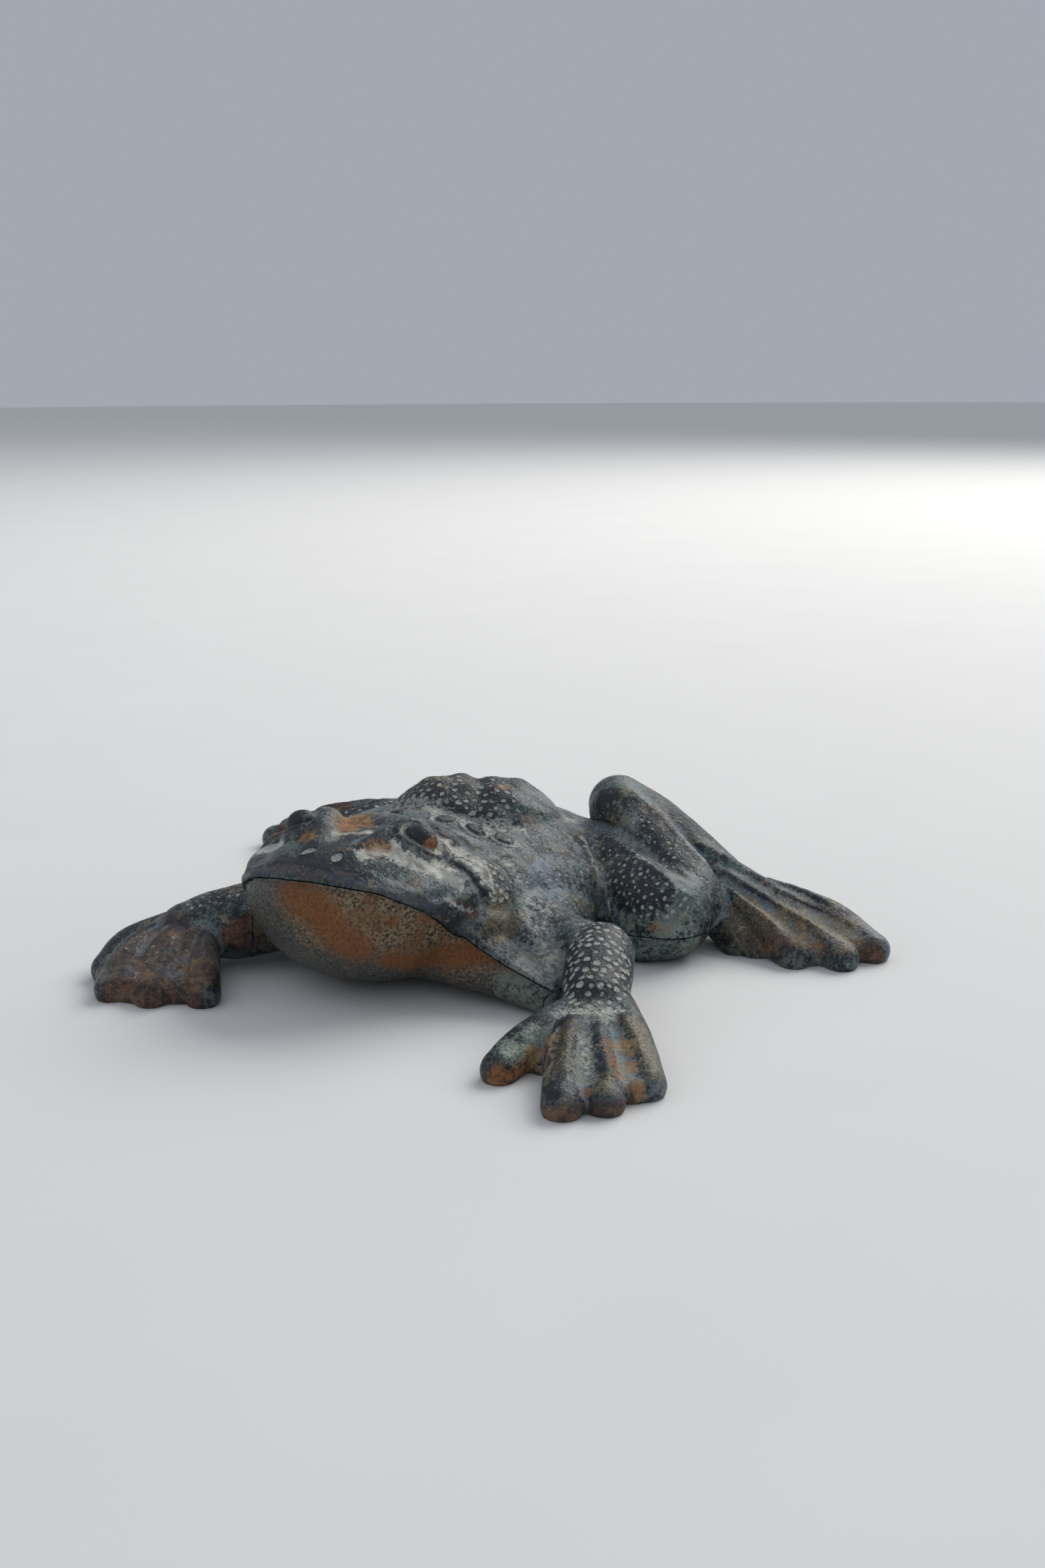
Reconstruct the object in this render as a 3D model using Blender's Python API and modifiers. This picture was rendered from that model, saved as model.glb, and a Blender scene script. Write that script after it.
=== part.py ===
"""Cast-iron garden frog, lying low with one hind leg drawn up.

Two hollow castings meet along the mouth line and are held by two slotted
screws from below. The frog faces -Y, its own left side is +X, and it rests
on z = 0. Sizes in the tables are millimetres; the objects are in metres.
"""
import bmesh
import bpy
from mathutils import Vector

MM = 0.001
ASSEMBLY = "cast_iron_frog"

# Surface quality of the pattern
VOXEL = 1.0
CORE_VOXEL = 1.6
SMOOTH_STEPS = 6
FORM_FACES = 7600
CORE_FACES = 600
GAP = 0.3              # clearance between neighbouring pieces
ROUND_SEGMENTS = 32
EGG_RINGS = 20
LIMB_BEVEL = 4
LIMB_STEPS = 6
WELD = 1e-6            # metres

# Masses: centre, half size along X and Y, height above and below the centre
HEAD = [
    ((0, 3, 20), (26.5, 27, 12, 14)),      # skull
    ((0, 0, 25), (26, 25.5, 5, 7)),        # rim over the mouth
    ((0, -9, 24), (20, 15.5, 8.5, 8)),     # snout
    ((0, 1, 23), (27.4, 26.6, 3, 22.6)),   # jaw and throat
    ((0, -4, 25), (15, 15, 8.2, 5)),       # crown between the brows
    ((0, 6, 27), (14, 9, 7.2, 6)),         # back of the crown
]
BODY = [
    ((0, 22, 16), (31, 22, 13, 13)),       # shoulders
    ((0, 21, 18), (22, 20, 12.5, 10)),     # nape
    ((0, 8, 9), (29, 16, 8, 8.6)),         # breast
    ((0, 40, 14), (37, 34, 14, 15)),       # belly and flanks
    ((-2.5, 41, 19), (17, 17, 15.4, 14)),  # hump of the back, right
    ((6, 46, 19), (17, 17, 14.8, 14)),     # hump of the back, left
    ((0, 60, 11.5), (24, 30, 11.5, 12)),   # rump
]
PAIRED = [
    ((14, -2.5, 31.5), (3.4, 3.4, 3.4, 3.4)),   # eye
    ((11.5, -3, 27.5), (7.5, 9, 6.8, 6)),       # socket under the brow
    ((24, 12, 17), (8, 13, 9, 9)),              # swelling behind the cheek
    ((22, 4, 13), (9.5, 13, 9, 9)),             # corner of the jaw
    ((28, 28, 9), (10, 15, 9, 8)),              # flank
]
BROW = [(3, -15, 29.5, 2.4), (6.5, -7.5, 31.2, 3.1), (9.8, -0.5, 32.2, 3.7), (12.3, 3.2, 31.2, 3.7),
        (14.5, 7, 29.4, 3.4), (19, 13, 25, 3)]

# Limbs: x, y, z of the centre line and its radius
LEFT_LIMBS = {
    "shoulder": [(18, 14, 13, 12), (34, 8, 10, 8), (42, 3, 7, 6)],
    "breast": [(8, 0, 12, 10), (25, -1, 8.6, 7.2), (36, -2.6, 5.4, 5), (44, -4.8, 3.2, 3.4)],
    "upper_arm": [(28, 14, 11, 9), (40, 9, 9.5, 7.5), (50, 4, 10, 7)],
    "forearm": [(51.5, 2.5, 11.3, 7), (54.2, -5, 10, 7), (57.4, -13.4, 7.8, 6.4)],
    "thumb": [(57, -15, 6.2, 5), (52.5, -24, 4.8, 4.5), (50, -31, 3.6, 4), (49, -37.6, 1.8, 3.7)],
    "finger_2": [(57, -15, 6.2, 5), (60.5, -32, 4.7, 4.6), (65.7, -46.8, 1.8, 3.9)],
    "finger_3": [(58.5, -14, 6.2, 5), (65, -29, 4.7, 4.4), (72, -42.2, 1.8, 3.7)],
    "finger_4": [(60, -12, 6.2, 5), (67.5, -21.5, 4.8, 4.6), (75.8, -32.8, 1.8, 3.8)],
    "web_12": [(57, -18, 4, 4.4), (55, -30, 1.2, 3.4)],
    "web_23": [(60, -18, 5.2, 4.9), (64.5, -30, 3.9, 4.6), (68.6, -41, 1.6, 4)],
    "web_34": [(61, -15, 5.2, 4.9), (67.5, -25, 3.9, 4.6), (73.4, -34.6, 1.6, 4)],
    "thigh": [(15, 60, 13, 11), (34, 50.5, 13.5, 10), (51.5, 38.5, 10, 10.3)],
    "thigh_under": [(40, 42, 7, 7), (48, 35.5, 6.5, 7.2)],
    "shank": [(54, 45, 12, 8), (43, 52, 19.5, 7.5), (33, 56, 27, 7)],
    "foot": [(31.5, 59, 27.5, 7), (38, 62, 23.5, 6.8), (47.5, 61.5, 17.6, 6.2),
             (58, 59.5, 11.6, 5.6), (67, 59, 8.4, 5)],
    "toe_1": [(55, 54, 8, 5), (60, 51, 5.2, 4.3), (64.7, 48, 2, 3.7)],
    "toe_2": [(59, 55, 9, 5), (68, 51.5, 5.6, 4.3), (78.8, 45, 2, 3.8)],
    "toe_3": [(62, 61, 9, 5), (74, 56.5, 5.8, 4.3), (88.4, 47.9, 2, 3.9)],
    "toe_4": [(66, 62, 8.5, 4.8), (81, 61.5, 6.1, 4.3), (93.1, 55.8, 2.1, 3.9)],
    "toe_web_12": [(57, 54, 6.2, 5), (69, 48.4, 1.6, 3.8)],
    "toe_web_23": [(62, 57, 6.6, 5), (81, 48.8, 1.7, 4)],
    "toe_web_34": [(66, 61, 6.6, 5), (88.6, 54.6, 1.8, 4)],
}
RIGHT_LIMBS = {
    "shoulder": [(-18, 14, 13, 12), (-28, 6, 10, 8), (-33, 0, 9, 6.5)],
    "forearm": [(-24, 4, 10, 8), (-31, -4, 9, 8), (-36.5, -6.5, 8.3, 7.4), (-40, -10.5, 7.6, 6.4)],
    "thumb": [(-37, -12, 6.2, 5), (-31, -19.5, 4.8, 4.7), (-23, -28.9, 2, 3.8)],
    "finger_2": [(-40, -12, 6.2, 5), (-37.6, -22.8, 4.7, 4.6), (-32.8, -33.2, 2, 3.8)],
    "finger_3": [(-43, -12, 6.2, 5), (-44.5, -23, 4.7, 4.6), (-42.2, -34, 2, 3.8)],
    "finger_4": [(-45, -10, 6.2, 5), (-50, -17, 4.7, 4.5), (-50.4, -24.8, 2, 3.8)],
    "web_12": [(-37, -16, 4.4, 4.8), (-29.4, -28.6, 1.6, 4)],
    "web_23": [(-41, -16, 4.4, 4.8), (-37.6, -31.6, 1.6, 4.1)],
    "web_34": [(-45, -14, 4.4, 4.8), (-47, -27.2, 1.6, 4)],
    "thigh": [(-15, 60, 12, 11), (-31, 55, 11, 10), (-42, 50, 9.5, 9)],
    "shank": [(-42, 52, 9, 8), (-39, 64, 10, 7), (-36, 75, 11.5, 6.5)],
    "foot": [(-36, 77, 11.5, 6.5), (-49, 82.5, 8.8, 6), (-62, 83, 6.6, 5.5)],
    "toe_1": [(-54, 81, 7, 4.5), (-65, 76, 4.4, 4), (-72.3, 72.2, 2, 3.7)],
    "toe_2": [(-56, 83, 7, 4.5), (-67, 80, 4.4, 4.2), (-77.2, 78.5, 2, 3.8)],
    "toe_3": [(-56, 85, 7, 4.5), (-68, 87, 4.4, 4.2), (-78.2, 87.5, 2, 3.8)],
    "toe_4": [(-56, 87, 7, 4.5), (-65, 93, 4.4, 4), (-73.2, 95.3, 2, 3.7)],
    "toe_web_12": [(-58, 81, 5.6, 4.6), (-70.6, 76, 1.6, 3.8)],
    "toe_web_23": [(-58, 84, 5.6, 4.6), (-74, 83, 1.6, 4)],
    "toe_web_34": [(-58, 87, 5.6, 4.6), (-72.4, 91.2, 1.6, 3.9)],
}
# Hollow inside, left by the sand core
CORE = [
    ((0, 2, 21), (21.5, 20.5, 6.5, 14.5)),   # head
    ((0, 22, 15), (23, 20, 9, 9)),           # neck
    ((0, 40, 14), (29, 27, 10, 9.5)),        # belly
    ((0, 42, 18), (14, 14, 10.5, 8)),        # under the hump
]

# Parting surface: y, its height, and the share of the side droop that it takes there
PARTING = [(-34, 28, 1), (-24, 27.5, 1), (-20, 25.3, 1), (-15, 21.4, 1), (-10, 16.9, 1),
           (-5, 12.4, 1), (0, 9.2, 1), (6, 7.4, 0.6), (14, 7, 0), (100, 7, 0)]
# Side droop towards the left arm: x, and how far the surface falls
DROOP = [(-80, 0), (26, 0), (36, 4.6), (45, 8), (80, 8)]
# Plan of the lower casting: y, then how far it reaches to the right and to the left
PARTING_PLAN = [(-34, -12, 34), (-24, -14, 36), (-18, -20.2, 38), (-12, -23.8, 41), (-6, -24.6, 45),
                (2, -23, 45), (10, -26, 43),
                (22, -40, 43), (27, -46, 62), (44, -54, 62), (49, -54, 48), (57, -44, 40),
                (63, -30, 34), (92, -30, 34)]

BLOCK_BOTTOM = -8
# The cutting shapes reach well past the castings
CUT_LOW = -10
CUT_HIGH = 60
GROUND_LOW = -20
GROUND_REACH = 150

# Bosses and screws, on the frog's centre line
BOSS_Y = {"front_screw": 13.0, "rear_screw": 57.0}
BOSS_RADIUS = 5.5
HOLE_RADIUS = 2.5
HOLE_TOP = 20.0
HEAD_POCKET_RADIUS = 4.3
HEAD_POCKET_DEPTH = 4.0
SCREW_RADIUS = 2.0
SCREW_HEAD_RADIUS = 3.7
SCREW_HEAD_HEIGHT = 2.4
SCREW_HEAD_TOP = HEAD_POCKET_DEPTH - GAP
SCREW_END = 18.0
SLOT_WIDTH = 1.0
SLOT_DEPTH = 1.1
SCREW_CHAMFER = 0.4

IRON = (0.075, 0.085, 0.095, 1)
THROAT_IRON = (0.16, 0.10, 0.055, 1)
SCREW_STEEL = (0.14, 0.11, 0.09, 1)


def collection(name):
    made = bpy.data.collections.new(name)
    bpy.context.scene.collection.children.link(made)
    return made


def add(name, data, home):
    made = bpy.data.objects.new(name, data)
    home.objects.link(made)
    return made


def material(name, colour, roughness, metallic):
    made = bpy.data.materials.new(name)
    made.use_nodes = True
    shader = made.node_tree.nodes["Principled BSDF"]
    shader.inputs["Base Color"].default_value = colour
    shader.inputs["Roughness"].default_value = roughness
    shader.inputs["Metallic"].default_value = metallic
    return made


def evaluated_mesh(source):
    """A mesh of the object as its modifiers leave it, in world space, with its caps welded."""
    graph = bpy.context.evaluated_depsgraph_get()
    mesh = bpy.data.meshes.new_from_object(source.evaluated_get(graph))
    mesh.transform(source.matrix_world)
    shape = bmesh.new()
    shape.from_mesh(mesh)
    bmesh.ops.remove_doubles(shape, verts=shape.verts, dist=WELD)
    shape.to_mesh(mesh)
    shape.free()
    return mesh


def egg(centre, sizes):
    """A sphere stretched to its own size above and below the centre."""
    width, depth, above, below = sizes
    shape = bmesh.new()
    bmesh.ops.create_uvsphere(shape, u_segments=ROUND_SEGMENTS, v_segments=EGG_RINGS, radius=1)
    for vert in shape.verts:
        height = above if vert.co.z > 0 else below
        vert.co = Vector((vert.co.x * width, vert.co.y * depth, vert.co.z * height))
        vert.co = (vert.co + Vector(centre)) * MM
    mesh = bpy.data.meshes.new("egg")
    shape.to_mesh(mesh)
    shape.free()
    return mesh


def limb(points):
    """A round tapered limb along a smooth line, with a ball at each end."""
    curve = bpy.data.curves.new("limb", "CURVE")
    curve.dimensions = "3D"
    curve.bevel_depth = MM
    curve.bevel_resolution = LIMB_BEVEL
    curve.resolution_u = LIMB_STEPS
    curve.use_fill_caps = True
    spline = curve.splines.new("BEZIER")
    spline.bezier_points.add(len(points) - 1)
    for knot, (x, y, z, radius) in zip(spline.bezier_points, points):
        knot.co = (x * MM, y * MM, z * MM)
        knot.radius = radius
        knot.handle_left_type = knot.handle_right_type = "AUTO"
    tube = add("limb", curve, bpy.context.scene.collection)
    meshes = [evaluated_mesh(tube)]
    bpy.data.objects.remove(tube)
    for x, y, z, radius in (points[0], points[-1]):
        meshes.append(egg((x, y, z), (radius,) * 4))
    return meshes


def mirrored(points):
    return [(-x, y, z, radius) for x, y, z, radius in points]


def fused(name, meshes, voxel, faces, home):
    """One closed skin over all the masses, rounded where they meet."""
    shape = bmesh.new()
    for mesh in meshes:
        shape.from_mesh(mesh)
    heap = bpy.data.meshes.new(name)
    shape.to_mesh(heap)
    shape.free()
    skin = add(name, heap, home)
    remesh = skin.modifiers.new("skin", "REMESH")
    remesh.mode = "VOXEL"
    remesh.voxel_size = voxel * MM
    smooth = skin.modifiers.new("round", "SMOOTH")
    smooth.factor = 0.5
    smooth.iterations = SMOOTH_STEPS
    fine = evaluated_mesh(skin)
    triangles = sum(len(face.vertices) - 2 for face in fine.polygons)
    thin = skin.modifiers.new("thin", "DECIMATE")
    thin.ratio = faces / triangles
    coarse = evaluated_mesh(skin)
    skin.modifiers.clear()
    skin.data = coarse
    return skin


def prism(name, outline, low, high, home):
    """A flat plan outline, drawn up from low to high."""
    curve = bpy.data.curves.new(name, "CURVE")
    curve.dimensions = "2D"
    curve.fill_mode = "BOTH"
    curve.extrude = (high - low) / 2 * MM
    spline = curve.splines.new("POLY")
    spline.points.add(len(outline) - 1)
    spline.use_cyclic_u = True
    for point, (u, v) in zip(spline.points, outline):
        point.co = (u * MM, v * MM, 0, 1)
    flat = add(name, curve, home)
    flat.location = (0, 0, (high + low) / 2 * MM)
    bpy.context.view_layer.update()
    mesh = evaluated_mesh(flat)
    bpy.data.objects.remove(flat)
    return cutter(name, mesh, home)


def cutter(name, mesh, home):
    made = add(name, mesh, home)
    made.hide_render = True
    made.display_type = "WIRE"
    return made


def cylinder(radius, low, high, y):
    shape = bmesh.new()
    bmesh.ops.create_cone(shape, cap_ends=True, segments=ROUND_SEGMENTS, radius1=radius * MM,
                          radius2=radius * MM, depth=(high - low) * MM)
    bmesh.ops.translate(shape, verts=shape.verts, vec=(0, y * MM, (high + low) / 2 * MM))
    mesh = bpy.data.meshes.new("cylinder")
    shape.to_mesh(mesh)
    shape.free()
    return mesh


def boolean(target, tool, operation):
    step = target.modifiers.new(tool.name, "BOOLEAN")
    step.object = tool
    step.operation = operation
    step.solver = "EXACT"


def parting_block(grow, home):
    """The space that the lower casting is cut from; grow makes it larger all round."""
    name = "parting_block" if grow == 0 else "parting_block_with_gap"
    shape = bmesh.new()
    rows = []
    for x, fall in DROOP:
        rows.append([shape.verts.new((x * MM, y * MM, (z + grow - fall * share) * MM))
                     for y, z, share in PARTING])
    for near, far in zip(rows, rows[1:]):
        for i in range(len(near) - 1):
            shape.faces.new((near[i], far[i], far[i + 1]))
            shape.faces.new((near[i], far[i + 1], near[i + 1]))
    walls = bmesh.ops.extrude_face_region(shape, geom=shape.faces[:], use_keep_orig=True)
    for vert in (item for item in walls["geom"] if isinstance(item, bmesh.types.BMVert)):
        vert.co.z = BLOCK_BOTTOM * MM
    bmesh.ops.recalc_face_normals(shape, faces=shape.faces)
    mesh = bpy.data.meshes.new(name)
    shape.to_mesh(mesh)
    shape.free()
    block = cutter(name, mesh, home)
    right = [(right - grow, y) for y, right, left in PARTING_PLAN]
    left = [(left + grow, y) for y, right, left in PARTING_PLAN]
    plan = prism(name + "_plan", right + left[::-1], CUT_LOW, CUT_HIGH, home)
    boolean(block, plan, "INTERSECT")
    return block


def screw(name, y, finish, home, cutters):
    """A slotted cheese-head screw, head down."""
    head_bottom = SCREW_HEAD_TOP - SCREW_HEAD_HEIGHT
    chamfer = SCREW_CHAMFER
    profile = [
        (0, SCREW_END),
        (SCREW_RADIUS - chamfer, SCREW_END),
        (SCREW_RADIUS, SCREW_END - chamfer),
        (SCREW_RADIUS, SCREW_HEAD_TOP),
        (SCREW_HEAD_RADIUS, SCREW_HEAD_TOP),
        (SCREW_HEAD_RADIUS, head_bottom + chamfer),
        (SCREW_HEAD_RADIUS - chamfer, head_bottom),
        (0, head_bottom),
    ]
    mesh = bpy.data.meshes.new(name)
    points = [(radius * MM, 0, z * MM) for radius, z in profile]
    mesh.from_pydata(points, [(i, i + 1) for i in range(len(points) - 1)], [])
    made = add(name, mesh, home)
    made.location = (0, y * MM, 0)
    turn = made.modifiers.new("turn", "SCREW")
    turn.steps = turn.render_steps = ROUND_SEGMENTS
    turn.use_merge_vertices = True
    turn.merge_threshold = WELD
    slot = bmesh.new()
    bmesh.ops.create_cube(slot, size=1)
    slot_size = Vector((SCREW_HEAD_RADIUS * 3, SLOT_WIDTH, SLOT_DEPTH * 2)) * MM
    bmesh.ops.scale(slot, verts=slot.verts, vec=slot_size)
    bmesh.ops.translate(slot, verts=slot.verts, vec=(0, y * MM, head_bottom * MM))
    slot_mesh = bpy.data.meshes.new(name + "_slot")
    slot.to_mesh(slot_mesh)
    slot.free()
    boolean(made, cutter(name + "_slot", slot_mesh, cutters), "DIFFERENCE")
    made.data.materials.append(finish)
    return made


def outer_form(home):
    meshes = [egg(centre, sizes) for centre, sizes in HEAD + BODY + PAIRED]
    meshes += [egg((-x, y, z), sizes) for (x, y, z), sizes in PAIRED]
    limbs = [BROW, mirrored(BROW)] + list(LEFT_LIMBS.values()) + list(RIGHT_LIMBS.values())
    for points in limbs:
        meshes += limb(points)
    form = fused("form", meshes, VOXEL, FORM_FACES, home)
    reach = GROUND_REACH
    square = [(-reach, -reach), (reach, -reach), (reach, reach), (-reach, reach)]
    ground = prism("ground", square, GROUND_LOW, 0, home)
    boolean(form, ground, "DIFFERENCE")
    mesh = evaluated_mesh(form)
    bpy.data.objects.remove(form)
    return mesh


def hollow(home):
    """The sand core, with a round boss left standing at each screw."""
    core = fused("core", [egg(centre, sizes) for centre, sizes in CORE], CORE_VOXEL, CORE_FACES, home)
    core.hide_render = True
    core.display_type = "WIRE"
    for name, y in BOSS_Y.items():
        boss = cylinder(BOSS_RADIUS, CUT_LOW, CUT_HIGH, y)
        boolean(core, cutter(name + "_boss", boss, home), "DIFFERENCE")
    return core


def build():
    for old in list(bpy.data.objects):
        bpy.data.objects.remove(old)
    parts = collection(ASSEMBLY)
    cutters = collection("cutters")

    form = outer_form(cutters)
    core = hollow(cutters)
    upper = add("upper_casting", form, parts)
    lower = add("lower_casting", form.copy(), parts)
    boolean(upper, parting_block(GAP, cutters), "DIFFERENCE")
    boolean(lower, parting_block(0, cutters), "INTERSECT")
    for casting in (upper, lower):
        boolean(casting, core, "DIFFERENCE")
        for name, y in BOSS_Y.items():
            hole = cylinder(HOLE_RADIUS, CUT_LOW, HOLE_TOP, y)
            boolean(casting, cutter(name + "_hole_" + casting.name, hole, cutters), "DIFFERENCE")
    for name, y in BOSS_Y.items():
        pocket = cylinder(HEAD_POCKET_RADIUS, CUT_LOW, HEAD_POCKET_DEPTH, y)
        boolean(lower, cutter(name + "_pocket", pocket, cutters), "DIFFERENCE")
    upper.data.materials.append(material("patinated_iron", IRON, 0.5, 0.4))
    lower.data.materials.append(material("rusty_iron", THROAT_IRON, 0.75, 0.2))
    steel = material("screw_steel", SCREW_STEEL, 0.55, 0.8)
    screws = [screw(name, y, steel, parts, cutters) for name, y in BOSS_Y.items()]

    # The assembly stands on the middle of its own footprint
    bpy.context.view_layer.update()
    corners = [vert.co for casting in (upper, lower) for vert in evaluated_mesh(casting).vertices]
    middle = [(min(corner[axis] for corner in corners) + max(corner[axis] for corner in corners)) / 2
              for axis in (0, 1)]
    base = add("frog_base", None, parts)
    base.location = (-middle[0], -middle[1], 0)
    for piece in [upper, lower] + screws + list(cutters.objects):
        piece.parent = base


build()
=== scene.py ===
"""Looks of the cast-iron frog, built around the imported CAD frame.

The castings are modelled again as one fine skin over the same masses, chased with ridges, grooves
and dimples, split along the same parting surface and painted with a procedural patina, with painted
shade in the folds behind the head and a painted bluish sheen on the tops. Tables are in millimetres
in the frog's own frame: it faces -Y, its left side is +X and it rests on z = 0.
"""
import math

import bmesh
import bpy
import numpy as np
from mathutils import Matrix, Vector, kdtree


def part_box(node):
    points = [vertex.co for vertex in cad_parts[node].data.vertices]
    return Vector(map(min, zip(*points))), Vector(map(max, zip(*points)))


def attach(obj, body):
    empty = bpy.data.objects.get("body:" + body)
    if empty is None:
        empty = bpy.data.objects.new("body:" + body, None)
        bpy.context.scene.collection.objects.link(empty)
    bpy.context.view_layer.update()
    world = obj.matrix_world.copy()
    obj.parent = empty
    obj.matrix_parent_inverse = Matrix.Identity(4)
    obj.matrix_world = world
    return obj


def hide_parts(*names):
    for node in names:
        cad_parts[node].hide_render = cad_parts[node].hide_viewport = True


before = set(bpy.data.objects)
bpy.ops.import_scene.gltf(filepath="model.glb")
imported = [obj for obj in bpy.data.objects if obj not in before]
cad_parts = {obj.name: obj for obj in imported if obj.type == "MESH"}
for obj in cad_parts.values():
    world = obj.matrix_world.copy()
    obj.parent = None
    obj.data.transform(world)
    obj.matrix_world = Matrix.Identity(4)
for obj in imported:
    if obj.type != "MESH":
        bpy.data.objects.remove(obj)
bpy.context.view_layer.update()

MM = 0.001
VOXEL = 0.5                 # of the skin
ROUNDING = 16               # smoothing steps where the masses meet
CORE_VOXEL, CORE_ROUNDING = 1.2, 6
GAP = 0.3                   # between the castings
CUT_LOW, CUT_HIGH = -10, 60  # ends of a cutting prism
GROUND_LOW, GROUND_REACH = -20, 150
SHARP_EDGE = math.radians(55)

# Masses: centre, half size along X and Y, height above and below the centre
HEAD = [
    ((0, 3, 20), (26.5, 27, 12, 14)),      # skull
    ((0, 0, 25), (26, 25.5, 5, 7)),        # rim over the mouth
    ((0, -9, 24), (20, 15.5, 8.5, 8)),     # snout
    ((0, 1, 23), (27.4, 26.6, 3, 22.6)),   # jaw and throat
    ((0, -4, 25), (15, 15, 8.2, 5)),       # crown between the brows
    ((0, 6, 27), (14, 9, 7.2, 6)),         # back of the crown
]
BODY = [
    ((0, 22, 16), (31, 22, 13, 13)),       # shoulders
    ((0, 21, 18), (22, 20, 12.5, 10)),     # nape
    ((0, 8, 9), (29, 16, 8, 8.6)),         # breast
    ((0, 40, 14), (37, 34, 14, 15)),       # belly and flanks
    ((-2.5, 41, 19), (17, 17, 15.4, 14)),  # hump of the back, right
    ((6, 46, 19), (17, 17, 14.8, 14)),     # hump of the back, left
    ((0, 60, 11.5), (24, 30, 11.5, 12)),   # rump
]
PAIRED = [
    ((14, -2.5, 31.5), (3.4, 3.4, 3.4, 3.4)),   # eye
    ((11.5, -3, 27.5), (7.5, 9, 6.8, 6)),       # socket under the brow
    ((24, 12, 17), (8, 13, 9, 9)),              # swelling behind the cheek
    ((22, 4, 13), (9.5, 13, 9, 9)),             # corner of the jaw
    ((28, 28, 9), (10, 15, 9, 8)),              # flank
]
BROW = [(3, -15, 29.5, 2.4), (6.5, -7.5, 31.2, 3.1), (9.8, -0.5, 32.2, 3.7), (12.3, 3.2, 31.2, 3.7),
        (14.5, 7, 29.4, 3.4), (19, 13, 25, 3)]

# Limbs: x, y, z of the centre line and its radius
LEFT_LIMBS = {
    "shoulder": [(18, 14, 13, 12), (34, 8, 10, 8), (42, 3, 7, 6)],
    "breast": [(8, 0, 12, 10), (25, -1, 8.6, 7.2), (36, -2.6, 5.4, 5), (44, -4.8, 3.2, 3.4)],
    "upper_arm": [(28, 14, 11, 9), (40, 9, 9.5, 7.5), (50, 4, 10, 7)],
    "forearm": [(51.5, 2.5, 11.3, 7), (54.2, -5, 10, 7), (57.4, -13.4, 7.8, 6.4)],
    "thumb": [(57, -15, 6.2, 5), (52.5, -24, 4.8, 4.5), (50, -31, 3.6, 4), (49, -37.6, 1.8, 3.7)],
    "finger_2": [(57, -15, 6.2, 5), (60.5, -32, 4.7, 4.6), (65.7, -46.8, 1.8, 3.9)],
    "finger_3": [(58.5, -14, 6.2, 5), (65, -29, 4.7, 4.4), (72, -42.2, 1.8, 3.7)],
    "finger_4": [(60, -12, 6.2, 5), (67.5, -21.5, 4.8, 4.6), (75.8, -32.8, 1.8, 3.8)],
    "web_12": [(57, -18, 4, 4.4), (55, -30, 1.2, 3.4)],
    "web_23": [(60, -18, 5.2, 4.9), (64.5, -30, 3.9, 4.6), (68.6, -41, 1.6, 4)],
    "web_34": [(61, -15, 5.2, 4.9), (67.5, -25, 3.9, 4.6), (73.4, -34.6, 1.6, 4)],
    "thigh": [(15, 60, 13, 11), (34, 50.5, 13.5, 10), (51.5, 38.5, 10, 10.3)],
    "thigh_under": [(40, 42, 7, 7), (48, 35.5, 6.5, 7.2)],
    "shank": [(54, 45, 12, 8), (43, 52, 19.5, 7.5), (33, 56, 27, 7)],
    "foot": [(31.5, 59, 27.5, 7), (38, 62, 23.5, 6.8), (47.5, 61.5, 17.6, 6.2),
             (58, 59.5, 11.6, 5.6), (67, 59, 8.4, 5)],
    "toe_1": [(55, 54, 8, 5), (60, 51, 5.2, 4.3), (64.7, 48, 2, 3.7)],
    "toe_2": [(59, 55, 9, 5), (68, 51.5, 5.6, 4.3), (78.8, 45, 2, 3.8)],
    "toe_3": [(62, 61, 9, 5), (74, 56.5, 5.8, 4.3), (88.4, 47.9, 2, 3.9)],
    "toe_4": [(66, 62, 8.5, 4.8), (81, 61.5, 6.1, 4.3), (93.1, 55.8, 2.1, 3.9)],
    "toe_web_12": [(57, 54, 6.2, 5), (69, 48.4, 1.6, 3.8)],
    "toe_web_23": [(62, 57, 6.6, 5), (81, 48.8, 1.7, 4)],
    "toe_web_34": [(66, 61, 6.6, 5), (88.6, 54.6, 1.8, 4)],
}
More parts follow.
